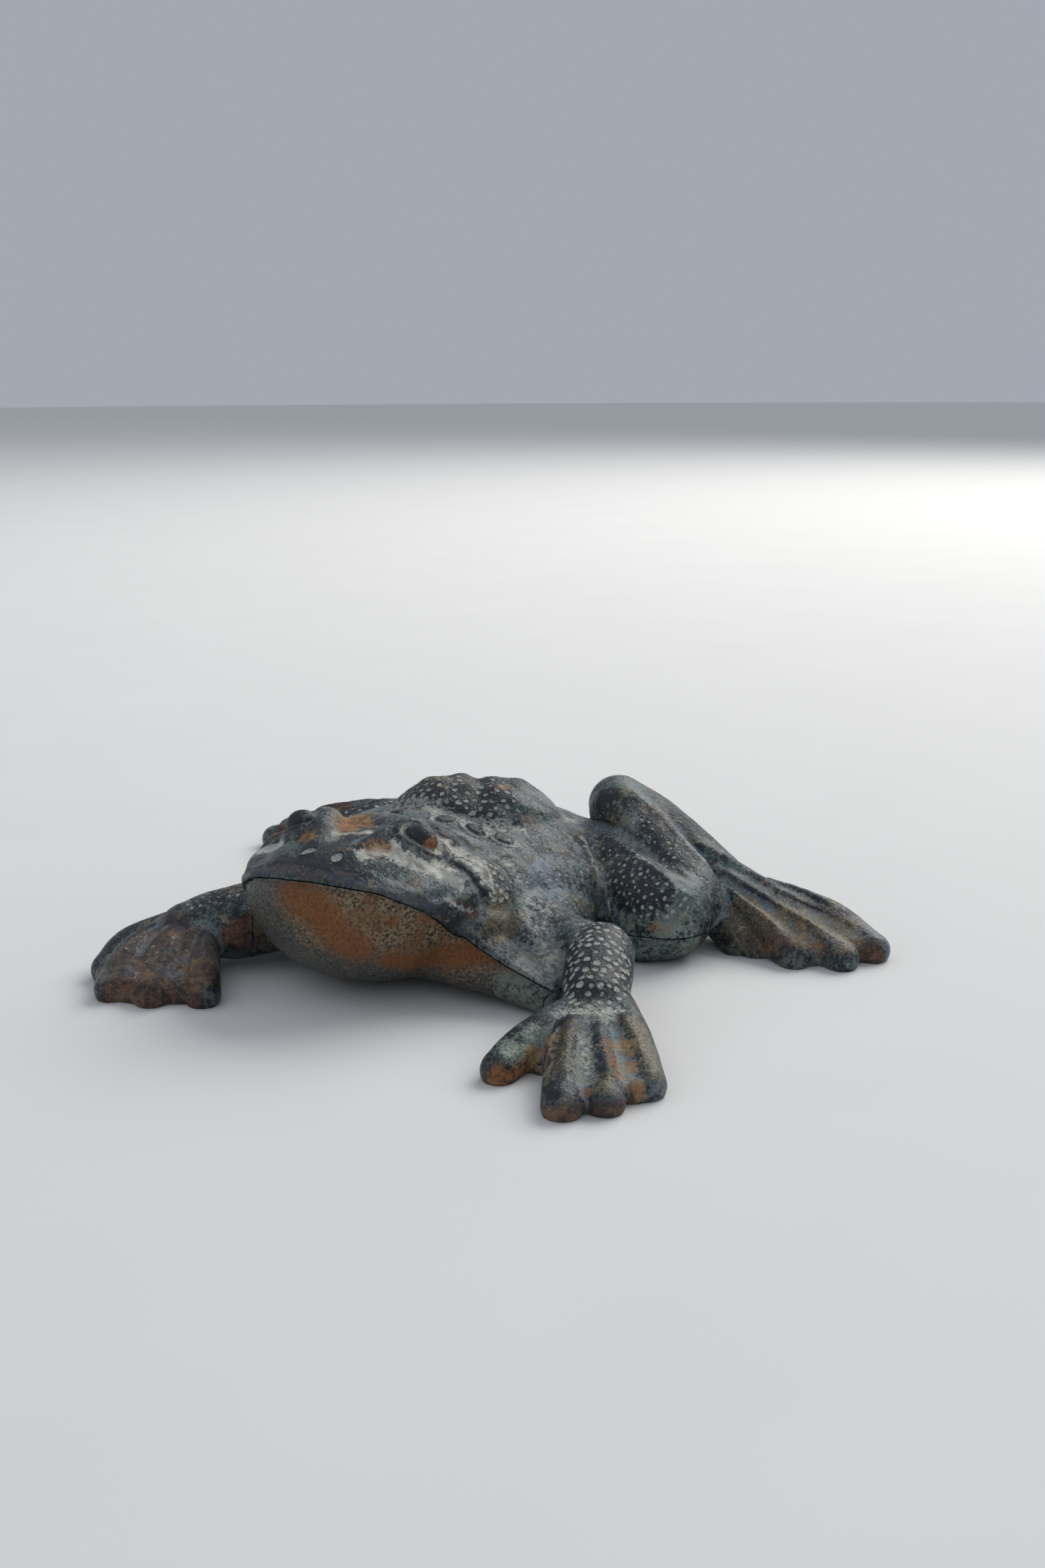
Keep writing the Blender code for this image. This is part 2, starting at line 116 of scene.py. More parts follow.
RIGHT_LIMBS = {
    "shoulder": [(-18, 14, 13, 12), (-28, 6, 10, 8), (-33, 0, 9, 6.5)],
    "forearm": [(-24, 4, 10, 8), (-31, -4, 9, 8), (-36.5, -6.5, 8.3, 7.4), (-40, -10.5, 7.6, 6.4)],
    "thumb": [(-37, -12, 6.2, 5), (-31, -19.5, 4.8, 4.7), (-23, -28.9, 2, 3.8)],
    "finger_2": [(-40, -12, 6.2, 5), (-37.6, -22.8, 4.7, 4.6), (-32.8, -33.2, 2, 3.8)],
    "finger_3": [(-43, -12, 6.2, 5), (-44.5, -23, 4.7, 4.6), (-42.2, -34, 2, 3.8)],
    "finger_4": [(-45, -10, 6.2, 5), (-50, -17, 4.7, 4.5), (-50.4, -24.8, 2, 3.8)],
    "web_12": [(-37, -16, 4.4, 4.8), (-29.4, -28.6, 1.6, 4)],
    "web_23": [(-41, -16, 4.4, 4.8), (-37.6, -31.6, 1.6, 4.1)],
    "web_34": [(-45, -14, 4.4, 4.8), (-47, -27.2, 1.6, 4)],
    "thigh": [(-15, 60, 12, 11), (-31, 55, 11, 10), (-42, 50, 9.5, 9)],
    "shank": [(-42, 52, 9, 8), (-39, 64, 10, 7), (-36, 75, 11.5, 6.5)],
    "foot": [(-36, 77, 11.5, 6.5), (-49, 82.5, 8.8, 6), (-62, 83, 6.6, 5.5)],
    "toe_1": [(-54, 81, 7, 4.5), (-65, 76, 4.4, 4), (-72.3, 72.2, 2, 3.7)],
    "toe_2": [(-56, 83, 7, 4.5), (-67, 80, 4.4, 4.2), (-77.2, 78.5, 2, 3.8)],
    "toe_3": [(-56, 85, 7, 4.5), (-68, 87, 4.4, 4.2), (-78.2, 87.5, 2, 3.8)],
    "toe_4": [(-56, 87, 7, 4.5), (-65, 93, 4.4, 4), (-73.2, 95.3, 2, 3.7)],
    "toe_web_12": [(-58, 81, 5.6, 4.6), (-70.6, 76, 1.6, 3.8)],
    "toe_web_23": [(-58, 84, 5.6, 4.6), (-74, 83, 1.6, 4)],
    "toe_web_34": [(-58, 87, 5.6, 4.6), (-72.4, 91.2, 1.6, 3.9)],
}
# Hollow inside
CORE = [
    ((0, 2, 21), (21.5, 20.5, 6.5, 14.5)),
    ((0, 22, 15), (23, 20, 9, 9)),
    ((0, 40, 14), (29, 27, 10, 9.5)),
    ((0, 42, 18), (14, 14, 10.5, 8)),
]
# Parting surface: y, its height, and the share of the side droop that it takes there
PARTING = [(-34, 28, 1), (-24, 27.5, 1), (-20, 25.3, 1), (-15, 21.4, 1), (-10, 16.9, 1),
           (-5, 12.4, 1), (0, 9.2, 1), (6, 7.4, 0.6), (14, 7, 0), (100, 7, 0)]
DROOP = [(-80, 0), (26, 0), (36, 4.6), (45, 8), (80, 8)]
# Plan of the lower casting: y, its right edge and its left edge
PARTING_PLAN = [(-34, -12, 34), (-24, -14, 36), (-18, -20.2, 38), (-12, -23.8, 41), (-6, -24.6, 45),
                (2, -23, 45), (10, -26, 43),
                (22, -40, 43), (27, -46, 62), (44, -54, 62), (49, -54, 48), (57, -44, 40),
                (63, -30, 34), (92, -30, 34)]
PARTING_REACH, PARTING_LOW = 80, -8
PARTING_WANDER = 0.22
BOSS_Y = {"front_screw": 13.0, "rear_screw": 57.0}
BOSS_RADIUS = 5.5
HOLE_RADIUS = 2.5
HOLE_TOP = 20.0
POCKET_RADIUS = 4.3
POCKET_DEPTH = 4.0


# ---------------------------------------------------------------- solid helpers
def link(name, data):
    made = bpy.data.objects.new(name, data)
    bpy.context.scene.collection.objects.link(made)
    return made


def evaluated(obj):
    graph = bpy.context.evaluated_depsgraph_get()
    mesh = bpy.data.meshes.new_from_object(obj.evaluated_get(graph))
    bpy.data.objects.remove(obj)
    return mesh


def arrays(mesh):
    """Vertex positions and triangles of a mesh."""
    places = np.empty(len(mesh.vertices) * 3, np.float32)
    mesh.vertices.foreach_get("co", places)
    mesh.calc_loop_triangles()
    corners = np.empty(len(mesh.loop_triangles) * 3, np.int32)
    mesh.loop_triangles.foreach_get("vertices", corners)
    return places.reshape(-1, 3).astype(float), corners.reshape(-1, 3).astype(np.int64)


def to_mesh(name, places, corners):
    mesh = bpy.data.meshes.new(name)
    mesh.vertices.add(len(places))
    mesh.vertices.foreach_set("co", np.ascontiguousarray(places, np.float32).ravel())
    mesh.loops.add(corners.size)
    mesh.loops.foreach_set("vertex_index", np.ascontiguousarray(corners, np.int32).ravel())
    mesh.polygons.add(len(corners))
    mesh.polygons.foreach_set("loop_start", np.arange(0, corners.size, 3, dtype=np.int32))
    mesh.update(calc_edges=True)
    return mesh


def unit_ball():
    shape = bmesh.new()
    bmesh.ops.create_uvsphere(shape, u_segments=64, v_segments=40, radius=1)
    mesh = bpy.data.meshes.new("ball")
    shape.to_mesh(mesh)
    shape.free()
    return arrays(mesh)


BALL = unit_ball()


def egg(centre, sizes):
    """An ellipsoid whose upper and lower halves have their own heights."""
    width, depth, above, below = sizes
    places, corners = BALL
    height = np.where(places[:, 2] > 0, above, below)
    return places * np.stack([height * 0 + width, height * 0 + depth, height], 1) + centre, corners


def limb(points):
    """A round limb along the points, with a ball at each end."""
    curve = bpy.data.curves.new("limb", "CURVE")
    curve.dimensions = "3D"
    curve.bevel_depth = 1
    curve.bevel_resolution = 8
    curve.resolution_u = 14
    curve.use_fill_caps = True
    spline = curve.splines.new("BEZIER")
    spline.bezier_points.add(len(points) - 1)
    for knot, (x, y, z, radius) in zip(spline.bezier_points, points):
        knot.co = (x, y, z)
        knot.radius = radius
        knot.handle_left_type = knot.handle_right_type = "AUTO"
    mesh = evaluated(link("limb", curve))
    part = bmesh.new()
    part.from_mesh(mesh)
    bmesh.ops.remove_doubles(part, verts=part.verts, dist=0.0001)
    part.to_mesh(mesh)
    part.free()
    return [arrays(mesh)] + [egg((x, y, z), (r,) * 4) for x, y, z, r in (points[0], points[-1])]


def fused(masses, voxel, rounding):
    """One closed skin over all the masses, rounded where they meet."""
    starts = np.cumsum([0] + [len(places) for places, corners in masses[:-1]])
    places = np.concatenate([places for places, corners in masses])
    corners = np.concatenate([corners + start for start, (_, corners) in zip(starts, masses)])
    skin = link("heap", to_mesh("heap", places, corners))
    remesh = skin.modifiers.new("skin", "REMESH")
    remesh.mode = "VOXEL"
    remesh.voxel_size = voxel
    smooth = skin.modifiers.new("round", "SMOOTH")
    smooth.factor = 0.5
    smooth.iterations = rounding
    return evaluated(skin)


def body_form():
    masses = [egg(centre, sizes) for centre, sizes in HEAD + BODY + PAIRED]
    masses += [egg((-x, y, z), sizes) for (x, y, z), sizes in PAIRED]
    for points in list(LEFT_LIMBS.values()) + list(RIGHT_LIMBS.values()) + [BROW]:
        masses += limb(points)
    masses += limb([(-x, y, z, r) for x, y, z, r in BROW])
    return arrays(fused(masses, VOXEL, ROUNDING))


# ---------------------------------------------------------------- the skin and its brushes
def smoothstep(low, high, value):
    share = np.clip((value - low) / (high - low), 0, 1)
    return share * share * (3 - 2 * share)


def bell(value, middle, width, power=2):
    """1 at the middle, falling off on both sides."""
    return np.exp(-((value - middle) / width) ** power)


HASH_STEPS = (374761393, 668265263, 2147483647)
HASH_SEED, HASH_TURN = 974634777, 1274126177


def hashed(cells, seed):
    """A random number from 0 to 1 for each whole-numbered cell."""
    value = cells @ np.array(HASH_STEPS) + seed * HASH_SEED
    value = (value ^ (value >> 13)) * HASH_TURN & 0xFFFFFFFF
    return ((value ^ (value >> 16)) & 0xFFFF) / 0xFFFF


def noise(places, size, seed=0, octaves=3):
    """Smooth random field between -1 and 1 whose largest lumps are about size mm."""
    total, weight = np.zeros(len(places)), 1.0
    for octave in range(octaves):
        at = places / size + seed * 7.31 + octave * 3.7
        cell = np.floor(at).astype(np.int64)
        part = at - cell
        part = part * part * (3 - 2 * part)
        value = 0
        for corner in range(8):
            step = np.array([corner & 1, corner >> 1 & 1, corner >> 2])
            share = np.prod(np.where(step, part, 1 - part), axis=1)
            value = value + share * hashed(cell + step, seed + octave)
        total += weight * (value * 2 - 1)
        size, weight = size * 0.5, weight * 0.5
    return total / 1.5


def finder(places):
    """A tree that finds the nearest of the places."""
    tree = kdtree.KDTree(len(places))
    for k, place in enumerate(places.tolist()):
        tree.insert(place, k)
    tree.balance()
    return tree


class Skin:
    """The outer surface: its points, the height that brushes raise, and a share of each patina."""

    def __init__(self, places, corners):
        self.at, self.corners, self.lift = places, corners, None
        self.settle()
        self.index = finder(places)
        self.ground = places, self.out.copy()

    def settle(self):
        """Moves the skin out by what the brushes have raised, and finds its normals again."""
        if self.lift is not None:
            self.at = self.at + self.out * self.lift[:, None]
        a, b, c = (self.at[self.corners[:, k]] for k in range(3))
        face = np.repeat(np.cross(b - a, c - a), 3, axis=0)
        flat = self.corners.ravel()
        out = np.stack([np.bincount(flat, face[:, k], len(self.at)) for k in range(3)], 1)
        self.out = out / (np.linalg.norm(out, axis=1)[:, None] + 1e-12)
        self.lift = np.zeros(len(self.at))

    def edges(self):
        """Every edge once, and the three edges of each triangle."""
        count = len(self.at)
        pairs = np.sort(self.corners[:, [0, 1, 1, 2, 2, 0]].reshape(-1, 2), axis=1)
        keys, places = np.unique(pairs[:, 0] * count + pairs[:, 1], return_inverse=True)
        return np.stack([keys // count, keys % count], 1), places.reshape(-1, 3)

    def refine(self, wanted):
        """Splits the triangles that touch a wanted point into four, and their neighbours to fit."""
        ends, sides = self.edges()
        chosen = wanted[self.corners].any(1)
        split = np.zeros(len(ends), bool)
        split[sides[chosen].ravel()] = True
        middle = np.full(len(ends), -1)
        middle[split] = len(self.at) + np.arange(split.sum())
        self.at = np.concatenate([self.at, self.at[ends[split]].mean(1)])
        mids = middle[sides]
        cut = mids >= 0
        kept = [self.corners[~cut.any(1)]]
        for turn in range(3):
            a, b, c = (self.corners[:, (turn + k) % 3] for k in range(3))
            ab, bc, ca = (mids[:, (turn + k) % 3] for k in range(3))
            one = cut[:, turn] & (cut.sum(1) == 1)
            kept += [np.stack(t, 1)[one] for t in ((a, ab, c), (ab, b, c))]
            two = ~cut[:, (turn + 2) % 3] & (cut.sum(1) == 2)
            kept += [np.stack(t, 1)[two] for t in ((b, bc, ab), (a, ab, bc), (a, bc, c))]
        a, b, c, ab, bc, ca = self.corners[:, 0], self.corners[:, 1], self.corners[:, 2], *mids.T
        every = cut.all(1)
        kept += [np.stack(t, 1)[every] for t in ((a, ab, ca), (ab, b, bc), (ca, bc, c), (ab, bc, ca))]
        self.corners = np.concatenate(kept)
        self.lift = None
        self.settle()
        self.fine = finder(self.at)
        self.tone = {name: np.zeros(len(self.at)) for name in TONES}

    def stain(self, tone, some, share):
        """Lays a patina where it is stronger than what is there."""
        self.tone[tone][some] = np.maximum(self.tone[tone][some], share)

    def averaged(self, values, steps):
        """Values spread to their neighbours, steps times."""
        ends, sides = self.edges()
        size = np.maximum(np.bincount(ends.ravel(), minlength=len(self.at)), 1)
        for step in range(steps):
            total = np.bincount(ends[:, 0], values[ends[:, 1]], len(size))
            total += np.bincount(ends[:, 1], values[ends[:, 0]], len(size))
            values = 0.4 * values + 0.6 * total / size
        return values

    def trace(self, points, spacing=0.5):
        """A smooth line through the points, laid on the form: places, outward directions, tangents, way."""
        knots = np.array([p[:3] for p in points], float)
        if len(knots) == 1:
            line = knots
        else:
            ends = np.concatenate([[2 * knots[0] - knots[1]], knots, [2 * knots[-1] - knots[-2]]])
            line = []
            for a, b, c, d in zip(ends, ends[1:], ends[2:], ends[3:]):
                count = max(2, int(np.linalg.norm(c - b) / spacing))
                t = np.arange(count)[:, None] / count
                line.append(0.5 * (2 * b + (c - a) * t + (2 * a - 5 * b + 4 * c - d) * t ** 2
                                   + (3 * b - a - 3 * c + d) * t ** 3))
            line = np.concatenate(line + [knots[-1:]])
        hits = np.array([self.index.find(place)[1] for place in line.tolist()])
        laid = self.ground[0][hits]
        if len(laid) > 2:
            laid[1:-1] = (laid[:-2] + 2 * laid[1:-1] + laid[2:]) / 4
            ahead = np.gradient(laid, axis=0)
        else:
            ahead = np.tile([1.0, 0, 0], (len(laid), 1))
        ahead /= np.linalg.norm(ahead, axis=1)[:, None] + 1e-9
        walked = np.concatenate([[0], np.cumsum(np.linalg.norm(np.diff(laid, axis=0), axis=1))])
        return laid, self.ground[1][hits], ahead, walked

    def near(self, points, reach):
        """Skin points within reach of a traced line: index, distance, share of the way, mm along it."""
        line, out, ahead, walked = self.trace(points)
        inside = ((self.at > line.min(0) - reach) & (self.at < line.max(0) + reach)).all(1)
        some = np.flatnonzero(inside)
        places = self.at[some]
        best, pick = np.full(len(some), np.inf), np.zeros(len(some), int)
        for k in range(0, len(line), 8):
            block = line[k:k + 8]
            sub = np.flatnonzero(((places > block.min(0) - reach) & (places < block.max(0) + reach)).all(1))
            gaps = np.linalg.norm(places[sub, None] - block[None], axis=2)
            which = gaps.argmin(1)
            gap = gaps[np.arange(len(sub)), which]
            closer = gap < best[sub]
            best[sub[closer]], pick[sub[closer]] = gap[closer], k + which[closer]
        hit = (best < reach) & ((self.out[some] * out[pick]).sum(1) > -0.1)
        some, pick, best, places = some[hit], pick[hit], best[hit], places[hit]
        offset = places - line[pick]
        along = (offset * ahead[pick]).sum(1)
        inner = (pick > 0) & (pick < len(line) - 1)
        distance = np.where(inner, np.sqrt(np.maximum(best ** 2 - along ** 2, 0)), best)
        mm = walked[pick] + along
        return some, distance, np.clip(mm / max(walked[-1], 1e-6), 0, 1), mm


def width_at(points, way, default):
    """Width of a stroke along its way, from the fourth number of its points."""
    if len(points[0]) < 4:
        return np.full(len(way), default)
    return np.interp(way, np.linspace(0, 1, len(points)), [p[3] for p in points])


def tapered(way, ends):
    return smoothstep(0, 1, np.minimum(way, 1 - way) / ends) if ends else np.ones(len(way))


def chisel(skin, points, height, width, ends=0.15):
    """A ridge (or with a negative height a groove) along the points."""
    some, distance, way, mm = skin.near(points, 3 * width)
    skin.lift[some] += height * bell(distance, 0, width_at(points, way, width)) * tapered(way, ends)


def blob(skin, centre, radius, height):
    some, distance, way, mm = skin.near([centre], radius * 2.6)
    skin.lift[some] += height * bell(distance, 0, radius)


def paint(skin, tone, points, radius, amount=1.0, ends=0.1):
    some, distance, way, mm = skin.near(points, radius * 2.2)
    ends = ends if len(points) > 1 else 0
    skin.stain(tone, some, amount * bell(distance, 0, width_at(points, way, radius)) * tapered(way, ends))


def oval(skin, centre, long_way, radii, reach=2.0):
    """Points round an oval on the skin: index, elliptical radius (1 on the oval), angle."""
    hit = skin.index.find(centre)[1]
    middle, out = skin.ground[0][hit], skin.ground[1][hit]
    long_way = np.array(long_way, float)
    long_way -= out * (long_way @ out)
    long_way /= np.linalg.norm(long_way)
    across = np.cross(out, long_way)
    limit = max(radii) * reach
    some = np.flatnonzero((np.abs(skin.at - middle) < limit).all(1))
    some = some[(skin.out[some] @ out) > 0]
    offset = skin.at[some] - middle
    u, v = offset @ long_way / radii[0], offset @ across / radii[1]
    return some, np.hypot(u, v), np.arctan2(v, u)


def scatter(skin, points, spacing, seed, tries=2500):
    """Random places at least spacing apart in the zone round a line; denser in its middle."""
    rng = np.random.default_rng(seed)
    line, out, ahead, walked = skin.trace(points, 1.0)
    grid, made = {}, []
    for attempt in range(tries):
        k = rng.integers(len(line))
        shift = rng.normal(size=3)
        shift *= rng.random() ** 0.45 / np.linalg.norm(shift)
        wide = np.interp(walked[k], np.linspace(0, walked[-1], len(points)), [p[3] for p in points])
        place, hit, gap = skin.index.find(line[k] + shift * wide)
        if out[k] @ skin.ground[1][hit] < 0.15:
            continue
        cell = tuple(int(math.floor(c / spacing)) for c in place)
        close = (q for dx in (-1, 0, 1) for dy in (-1, 0, 1) for dz in (-1, 0, 1)
                 for q in grid.get((cell[0] + dx, cell[1] + dy, cell[2] + dz), ()))
        if any((place - q).length < spacing for q in close):
            continue
        grid.setdefault(cell, []).append(place)
        made.append((place, hit))
    return made


def dimples(skin, points, spacing, size, depth, seed, tone, amount, fray=0.07):
    """Shallow oval dimples, each with a flat floor that holds pale dust."""
    rng = np.random.default_rng(seed + 500)
    for place, hit in scatter(skin, points, spacing, seed):
        r = size * rng.uniform(0.72, 1.12)
        squeeze = rng.uniform(0.74, 0.95)
        out = skin.ground[1][hit]
        turn = rng.normal(size=3)
        u = np.cross(out, turn)
        u /= np.linalg.norm(u)
        v = np.cross(out, u)
        found = np.array([k for q, k, gap in skin.fine.find_range(place, r * 1.7)], int)
        if not len(found):
            continue
        offset = skin.at[found] - np.array(place)
        a, b = offset @ u, offset @ v
        edge = np.hypot(a, b / squeeze) / r
        angle = np.arctan2(b, a)
        edge = edge * (1 + fray * np.sin(angle * 2 + rng.uniform(0, 6.3))
                       + fray * 0.7 * np.sin(angle * 3 + rng.uniform(0, 6.3)))
        skin.lift[found] += -depth * smoothstep(1.15, 0.7, edge) + depth * 0.35 * bell(edge, 1.3, 0.25)
        skin.stain(tone, found, amount * rng.uniform(0.68, 1.0) * np.clip(1.5 - edge, 0, 1))


def mirror(points):
    return [(-p[0],) + tuple(p[1:]) for p in points]


def both(points):
    return [points, mirror(points)]


# ---------------------------------------------------------------- features, in mm on the form
BROW_RIDGE = [(3.6, -19.4, 30.1, 1.1), (5.3, -15.7, 31.3, 1.4), (6.4, -11.8, 33.2, 1.6),
              (7.4, -9.7, 34.1, 1.7),
              (7.7, -6.3, 35.6, 1.8), (9, -2.6, 36.3, 1.8), (11.8, 0.5, 35.9, 1.7), (14.2, 2.6, 34.5, 1.5),
              (16.3, 3, 31.5, 1.2), (19.5, 1, 29.2, 1.1), (22.9, -1.7, 27.3, 1.1), (25.9, -2.3, 24.6, 1),
              (27.3, 0.2, 20.7, 0.9)]
LIP_TOP = [(0, -21, 29.4), (4.1, -19.6, 30), (8.8, -18.8, 29.4), (13.2, -18, 28), (17, -17.1, 26.7),
           (19.8, -16.2, 25.3),
           (21.9, -14.2, 23.6), (23.8, -11.9, 21.7), (25.3, -8.5, 19.9), (27, -4.9, 18)]
LIP_MIDDLE = [(-1, -22.5, 28.2), (4.8, -21.6, 28.7), (11, -20.4, 27.5), (16.2, -18.7, 25.7),
              (20, -16.3, 23.9),
              (23, -12.8, 21.2), (25.2, -9, 18.4), (27, -6.3, 16)]
HEAD_FOLD = [(16, 14, 28.5, 1.2), (21.5, 15, 26, 1.5), (27.5, 11.5, 24.5, 1.7), (32, 9.7, 19.7, 1.9),
             (35, 5.1, 16.5, 1.9), (35.8, 1.5, 13.5, 1.6)]
NECK_VALLEY = [(32.3, 8, 19), (37.9, 2.5, 14.5), (42, -2.3, 9.7), (43.4, -7, 5)]
CHEEK = (30.5, 0.3, 16)
TYMPANUM = ((23.3, 2.6, 27.1), (0.76, 0.07, -0.65), (8.2, 5.2))
EYE = ((14.3, -3.5, 33), (4.6, 2.3, -7.4), (3.9, 2.6))
NOSTRILS = [((3, -17.2, 31), (0.3, -0.9, -0.5), (1.45, 1.05)), ((-4.3, -16.2, 31.3), (0.8, 0.5, 0.6),
            (1.5, 0.85))]
WARTS = [((13, 23.8, 28), (0.9, -0.4, -0.2), (3.4, 2.7)), ((17.8, 25.8, 26.2), (0.9, -0.4, -0.2),
         (3.8, 2.9)),
         ((6, 22.4, 30), (0.3, 1, 0), (3.0, 2.1)), ((-7.5, 25.5, 29.3), (-0.5, 1, 0), (3.6, 2.6)),
         ((-4, 14.5, 30.8), (-0.3, 1, 0), (2.6, 1.9)), ((-14.5, 24.5, 27.4), (-0.9, -0.4, 0), (3.3, 2.6)),
         ((7.5, 14, 30.5), (0.5, 0.9, 0), (2.3, 1.7)), ((-18.5, 27.5, 25), (-0.9, -0.4, 0), (3.2, 2.4))]
BLISTER = (14.9, -21.1, 20.9)
HUMP_FOOT = [(-17, 36, 24), (-12, 32.5, 28), (-6, 30.5, 30.6), (0, 29.6, 30.3), (5, 29, 29),
             (10, 31.5, 27.8),
             (15, 33.5, 25.8), (20, 38, 23.5)]
HUMP_LUMPS = [(-8, 40, 33.5, 2.6, 0.8), (-3, 37, 33.5, 2.2, 0.6), (3, 39, 33, 2.4, 0.7),
              (9, 40.5, 32.8, 2.6, 0.9),
              (12, 46, 32.5, 2.4, 0.8), (5, 46, 33.5, 2.3, 0.7), (-2, 46, 34, 2.4, 0.8),
              (-9, 48, 32.5, 2.6, 0.7),
              (2, 53, 33, 2.4, 0.6), (9, 53, 32, 2.4, 0.7), (-6, 55, 31, 2.6, 0.6), (14, 40, 30, 2.2, 0.6)]
SPINE_FOLD = [(13, 37, 30), (18.5, 43, 28.5), (22.8, 44, 25), (29.8, 38.5, 21.5), (34.7, 34.4, 17)]
HIP_FOLD = [(20, 62, 22), (24.5, 53, 20.5), (30, 44, 18), (35, 38, 14), (38.6, 34.5, 10),
            (40.5, 32.5, 6)]

# Left hand
LEFT_GROOVES = [
    ([(56.1, -27.6, 8.7, 1.3), (58.2, -34, 8.3, 1.6), (59.6, -40, 7.2, 1.9), (60.3, -44, 5, 2)], 1.3),
    ([(61.6, -27.5, 9.6, 0.8), (64.2, -34.5, 8.4, 1.5), (67.1, -39.8, 7, 2.1),
      (69.6, -44.6, 5.8, 2.4)], 1.4),
    ([(65.3, -23.5, 9.3, 0.9), (69.6, -29.6, 7.6, 1.5), (73.2, -34.6, 6.1, 1.9),
      (75.5, -37.6, 4, 2)], 1.4),
]
LEFT_RIDGES = [
    ([(58.2, -26, 10, 1.2), (60.2, -32, 9.5, 1.3), (62.6, -39, 8.8, 1.4),
      (65.4, -45.8, 7.6, 1.5)], 0.6),
    ([(63.4, -26, 10, 1), (66.3, -31, 9.1, 1.1), (70, -37, 8.1, 1.2), (73.3, -42.5, 6.6, 1.3)], 0.6),
    ([(65.5, -20.5, 9.8, 1), (70.5, -26.3, 8.4, 1.1), (74.8, -31.8, 7.1, 1.2)], 0.5),
    ([(54.8, -25, 9.2, 1.2), (52.6, -29, 8.3, 1.2), (50.6, -34.6, 7.2, 1.3)], 0.5),
]
WRIST = [(53.5, -22.5, 9.2), (56.5, -24.4, 9.6), (60, -23.6, 10.2), (63.5, -20.5, 10.2),
         (65.5, -17, 9.6)]
# Right hand
RIGHT_GROOVES = [
    ([(-33.2, -14, 10.6, 1), (-31.2, -22, 8.6, 1.4), (-29.4, -30, 6.4, 1.9),
      (-28.6, -34, 4.4, 2)], 1.3),
    ([(-37, -15, 11, 0.8), (-36.8, -22, 9, 1.4), (-37, -30, 7, 2), (-37.2, -35, 4.6, 2.2)], 1.3),
    ([(-42, -13, 10.5, 1), (-45, -20, 8.6, 1.4), (-46.6, -26, 6.4, 1.9), (-47.2, -30, 4.4, 2)], 1.3),
]
RIGHT_RIDGES = [
    ([(-33, -14, 11.4, 1.1), (-30, -19, 10, 1.2), (-25.5, -25.5, 8, 1.3)], 0.5),
    ([(-37, -14, 11.9, 1.1), (-36.2, -20, 10.1, 1.2), (-34, -29, 7.9, 1.3)], 0.5),
    ([(-41, -13, 11.5, 1.1), (-42.6, -20, 9.8, 1.2), (-43, -30, 7.6, 1.3)], 0.5),
]
# Hind legs
THIGH_FRONT = [(23, 54.8, 23.8, 1.2), (31.2, 42.4, 21.4, 1.3), (36.4, 36.9, 16.7, 1.3),
               (40, 34, 10.6, 1.2), (42, 32.6, 7, 1)]
THIGH_CREST = [(26.5, 52.1, 23.8, 1), (32.8, 48.1, 23.3, 1.2), (38.8, 44.2, 22.3, 1.3),
               (44.4, 39.8, 21, 1.3),
               (49.5, 36.4, 20, 1.2), (53.9, 33.6, 18.6, 1.1), (57.1, 33.2, 16.8, 1),
               (59.9, 36.5, 14.8, 0.9)]
KNEE_VALLEY = [(29, 54.5, 24.5, 1.6), (35.5, 49.6, 24, 1.8), (42, 45.5, 22.2, 1.8),
               (48, 41.5, 20, 1.7), (54, 38.5, 18, 1.5),
               (58.5, 38.5, 15.5, 1.2)]
SHANK_CREST = [(35, 54, 33, 1.2), (42.5, 53.7, 28.8, 1.4), (49, 51, 24.4, 1.5),
               (54, 48.5, 20.5, 1.5), (59, 47, 16, 1.3)]
SHANK_BACK = [(30.5, 53.5, 32, 1.2), (31.5, 52, 29, 1.2), (34, 50.5, 26, 1.1)]
FOOT_RIDGES = [
    ([(47.8, 57.1, 22.8, 1.2), (54.5, 58.3, 19.6, 1.2), (61, 60, 16.2, 1.1), (67.6, 59.6, 13.4, 1.1),
      (74, 59, 10.7, 1.1), (81.5, 58.4, 8.8, 1.1), (89.8, 56, 7.4, 1.2)], 0.8),
    ([(57.6, 56, 16.3, 1), (63.8, 55.4, 13.1, 1), (69.5, 55, 11.1, 1), (76, 52.8, 9.4, 1),
      (83, 49.8, 8, 1.1)], 0.7),
    ([(60, 52.8, 13, 1), (64.5, 51.4, 11.2, 1), (69.5, 49.6, 9, 1), (75, 46.5, 7, 1)], 0.6),
    ([(42, 62.5, 28, 1.2), (52, 62.5, 21, 1.2), (62, 62, 15.5, 1.2), (74, 62, 11.4, 1.1),
      (86, 59.5, 8.8, 1.1)], 0.6),
]
FOOT_GROOVES = [
    ([(55, 56.6, 18, 0.9), (62, 57.8, 14.4, 1), (68, 57.4, 11.8, 1.1), (74, 56, 9.4, 1.3),
      (82, 53.4, 6.6, 1.6), (87, 51.4, 4.6, 1.8)], 1.1),
    ([(59, 54, 14.4, 0.9), (64, 53.4, 11.8, 1), (70, 51.8, 9, 1.3), (76, 49, 5.8, 1.6),
      (79, 47.4, 4, 1.8)], 1.1),
    ([(60, 50.5, 11.5, 0.9), (63.5, 49.6, 8.6, 1.2), (67.5, 47.4, 5, 1.5)], 1.0),
    ([(58, 61.4, 17, 0.9), (68, 61.4, 12.6, 1), (78, 60.4, 9, 1.2), (88, 57.6, 6.4, 1.4)], 0.9),
]
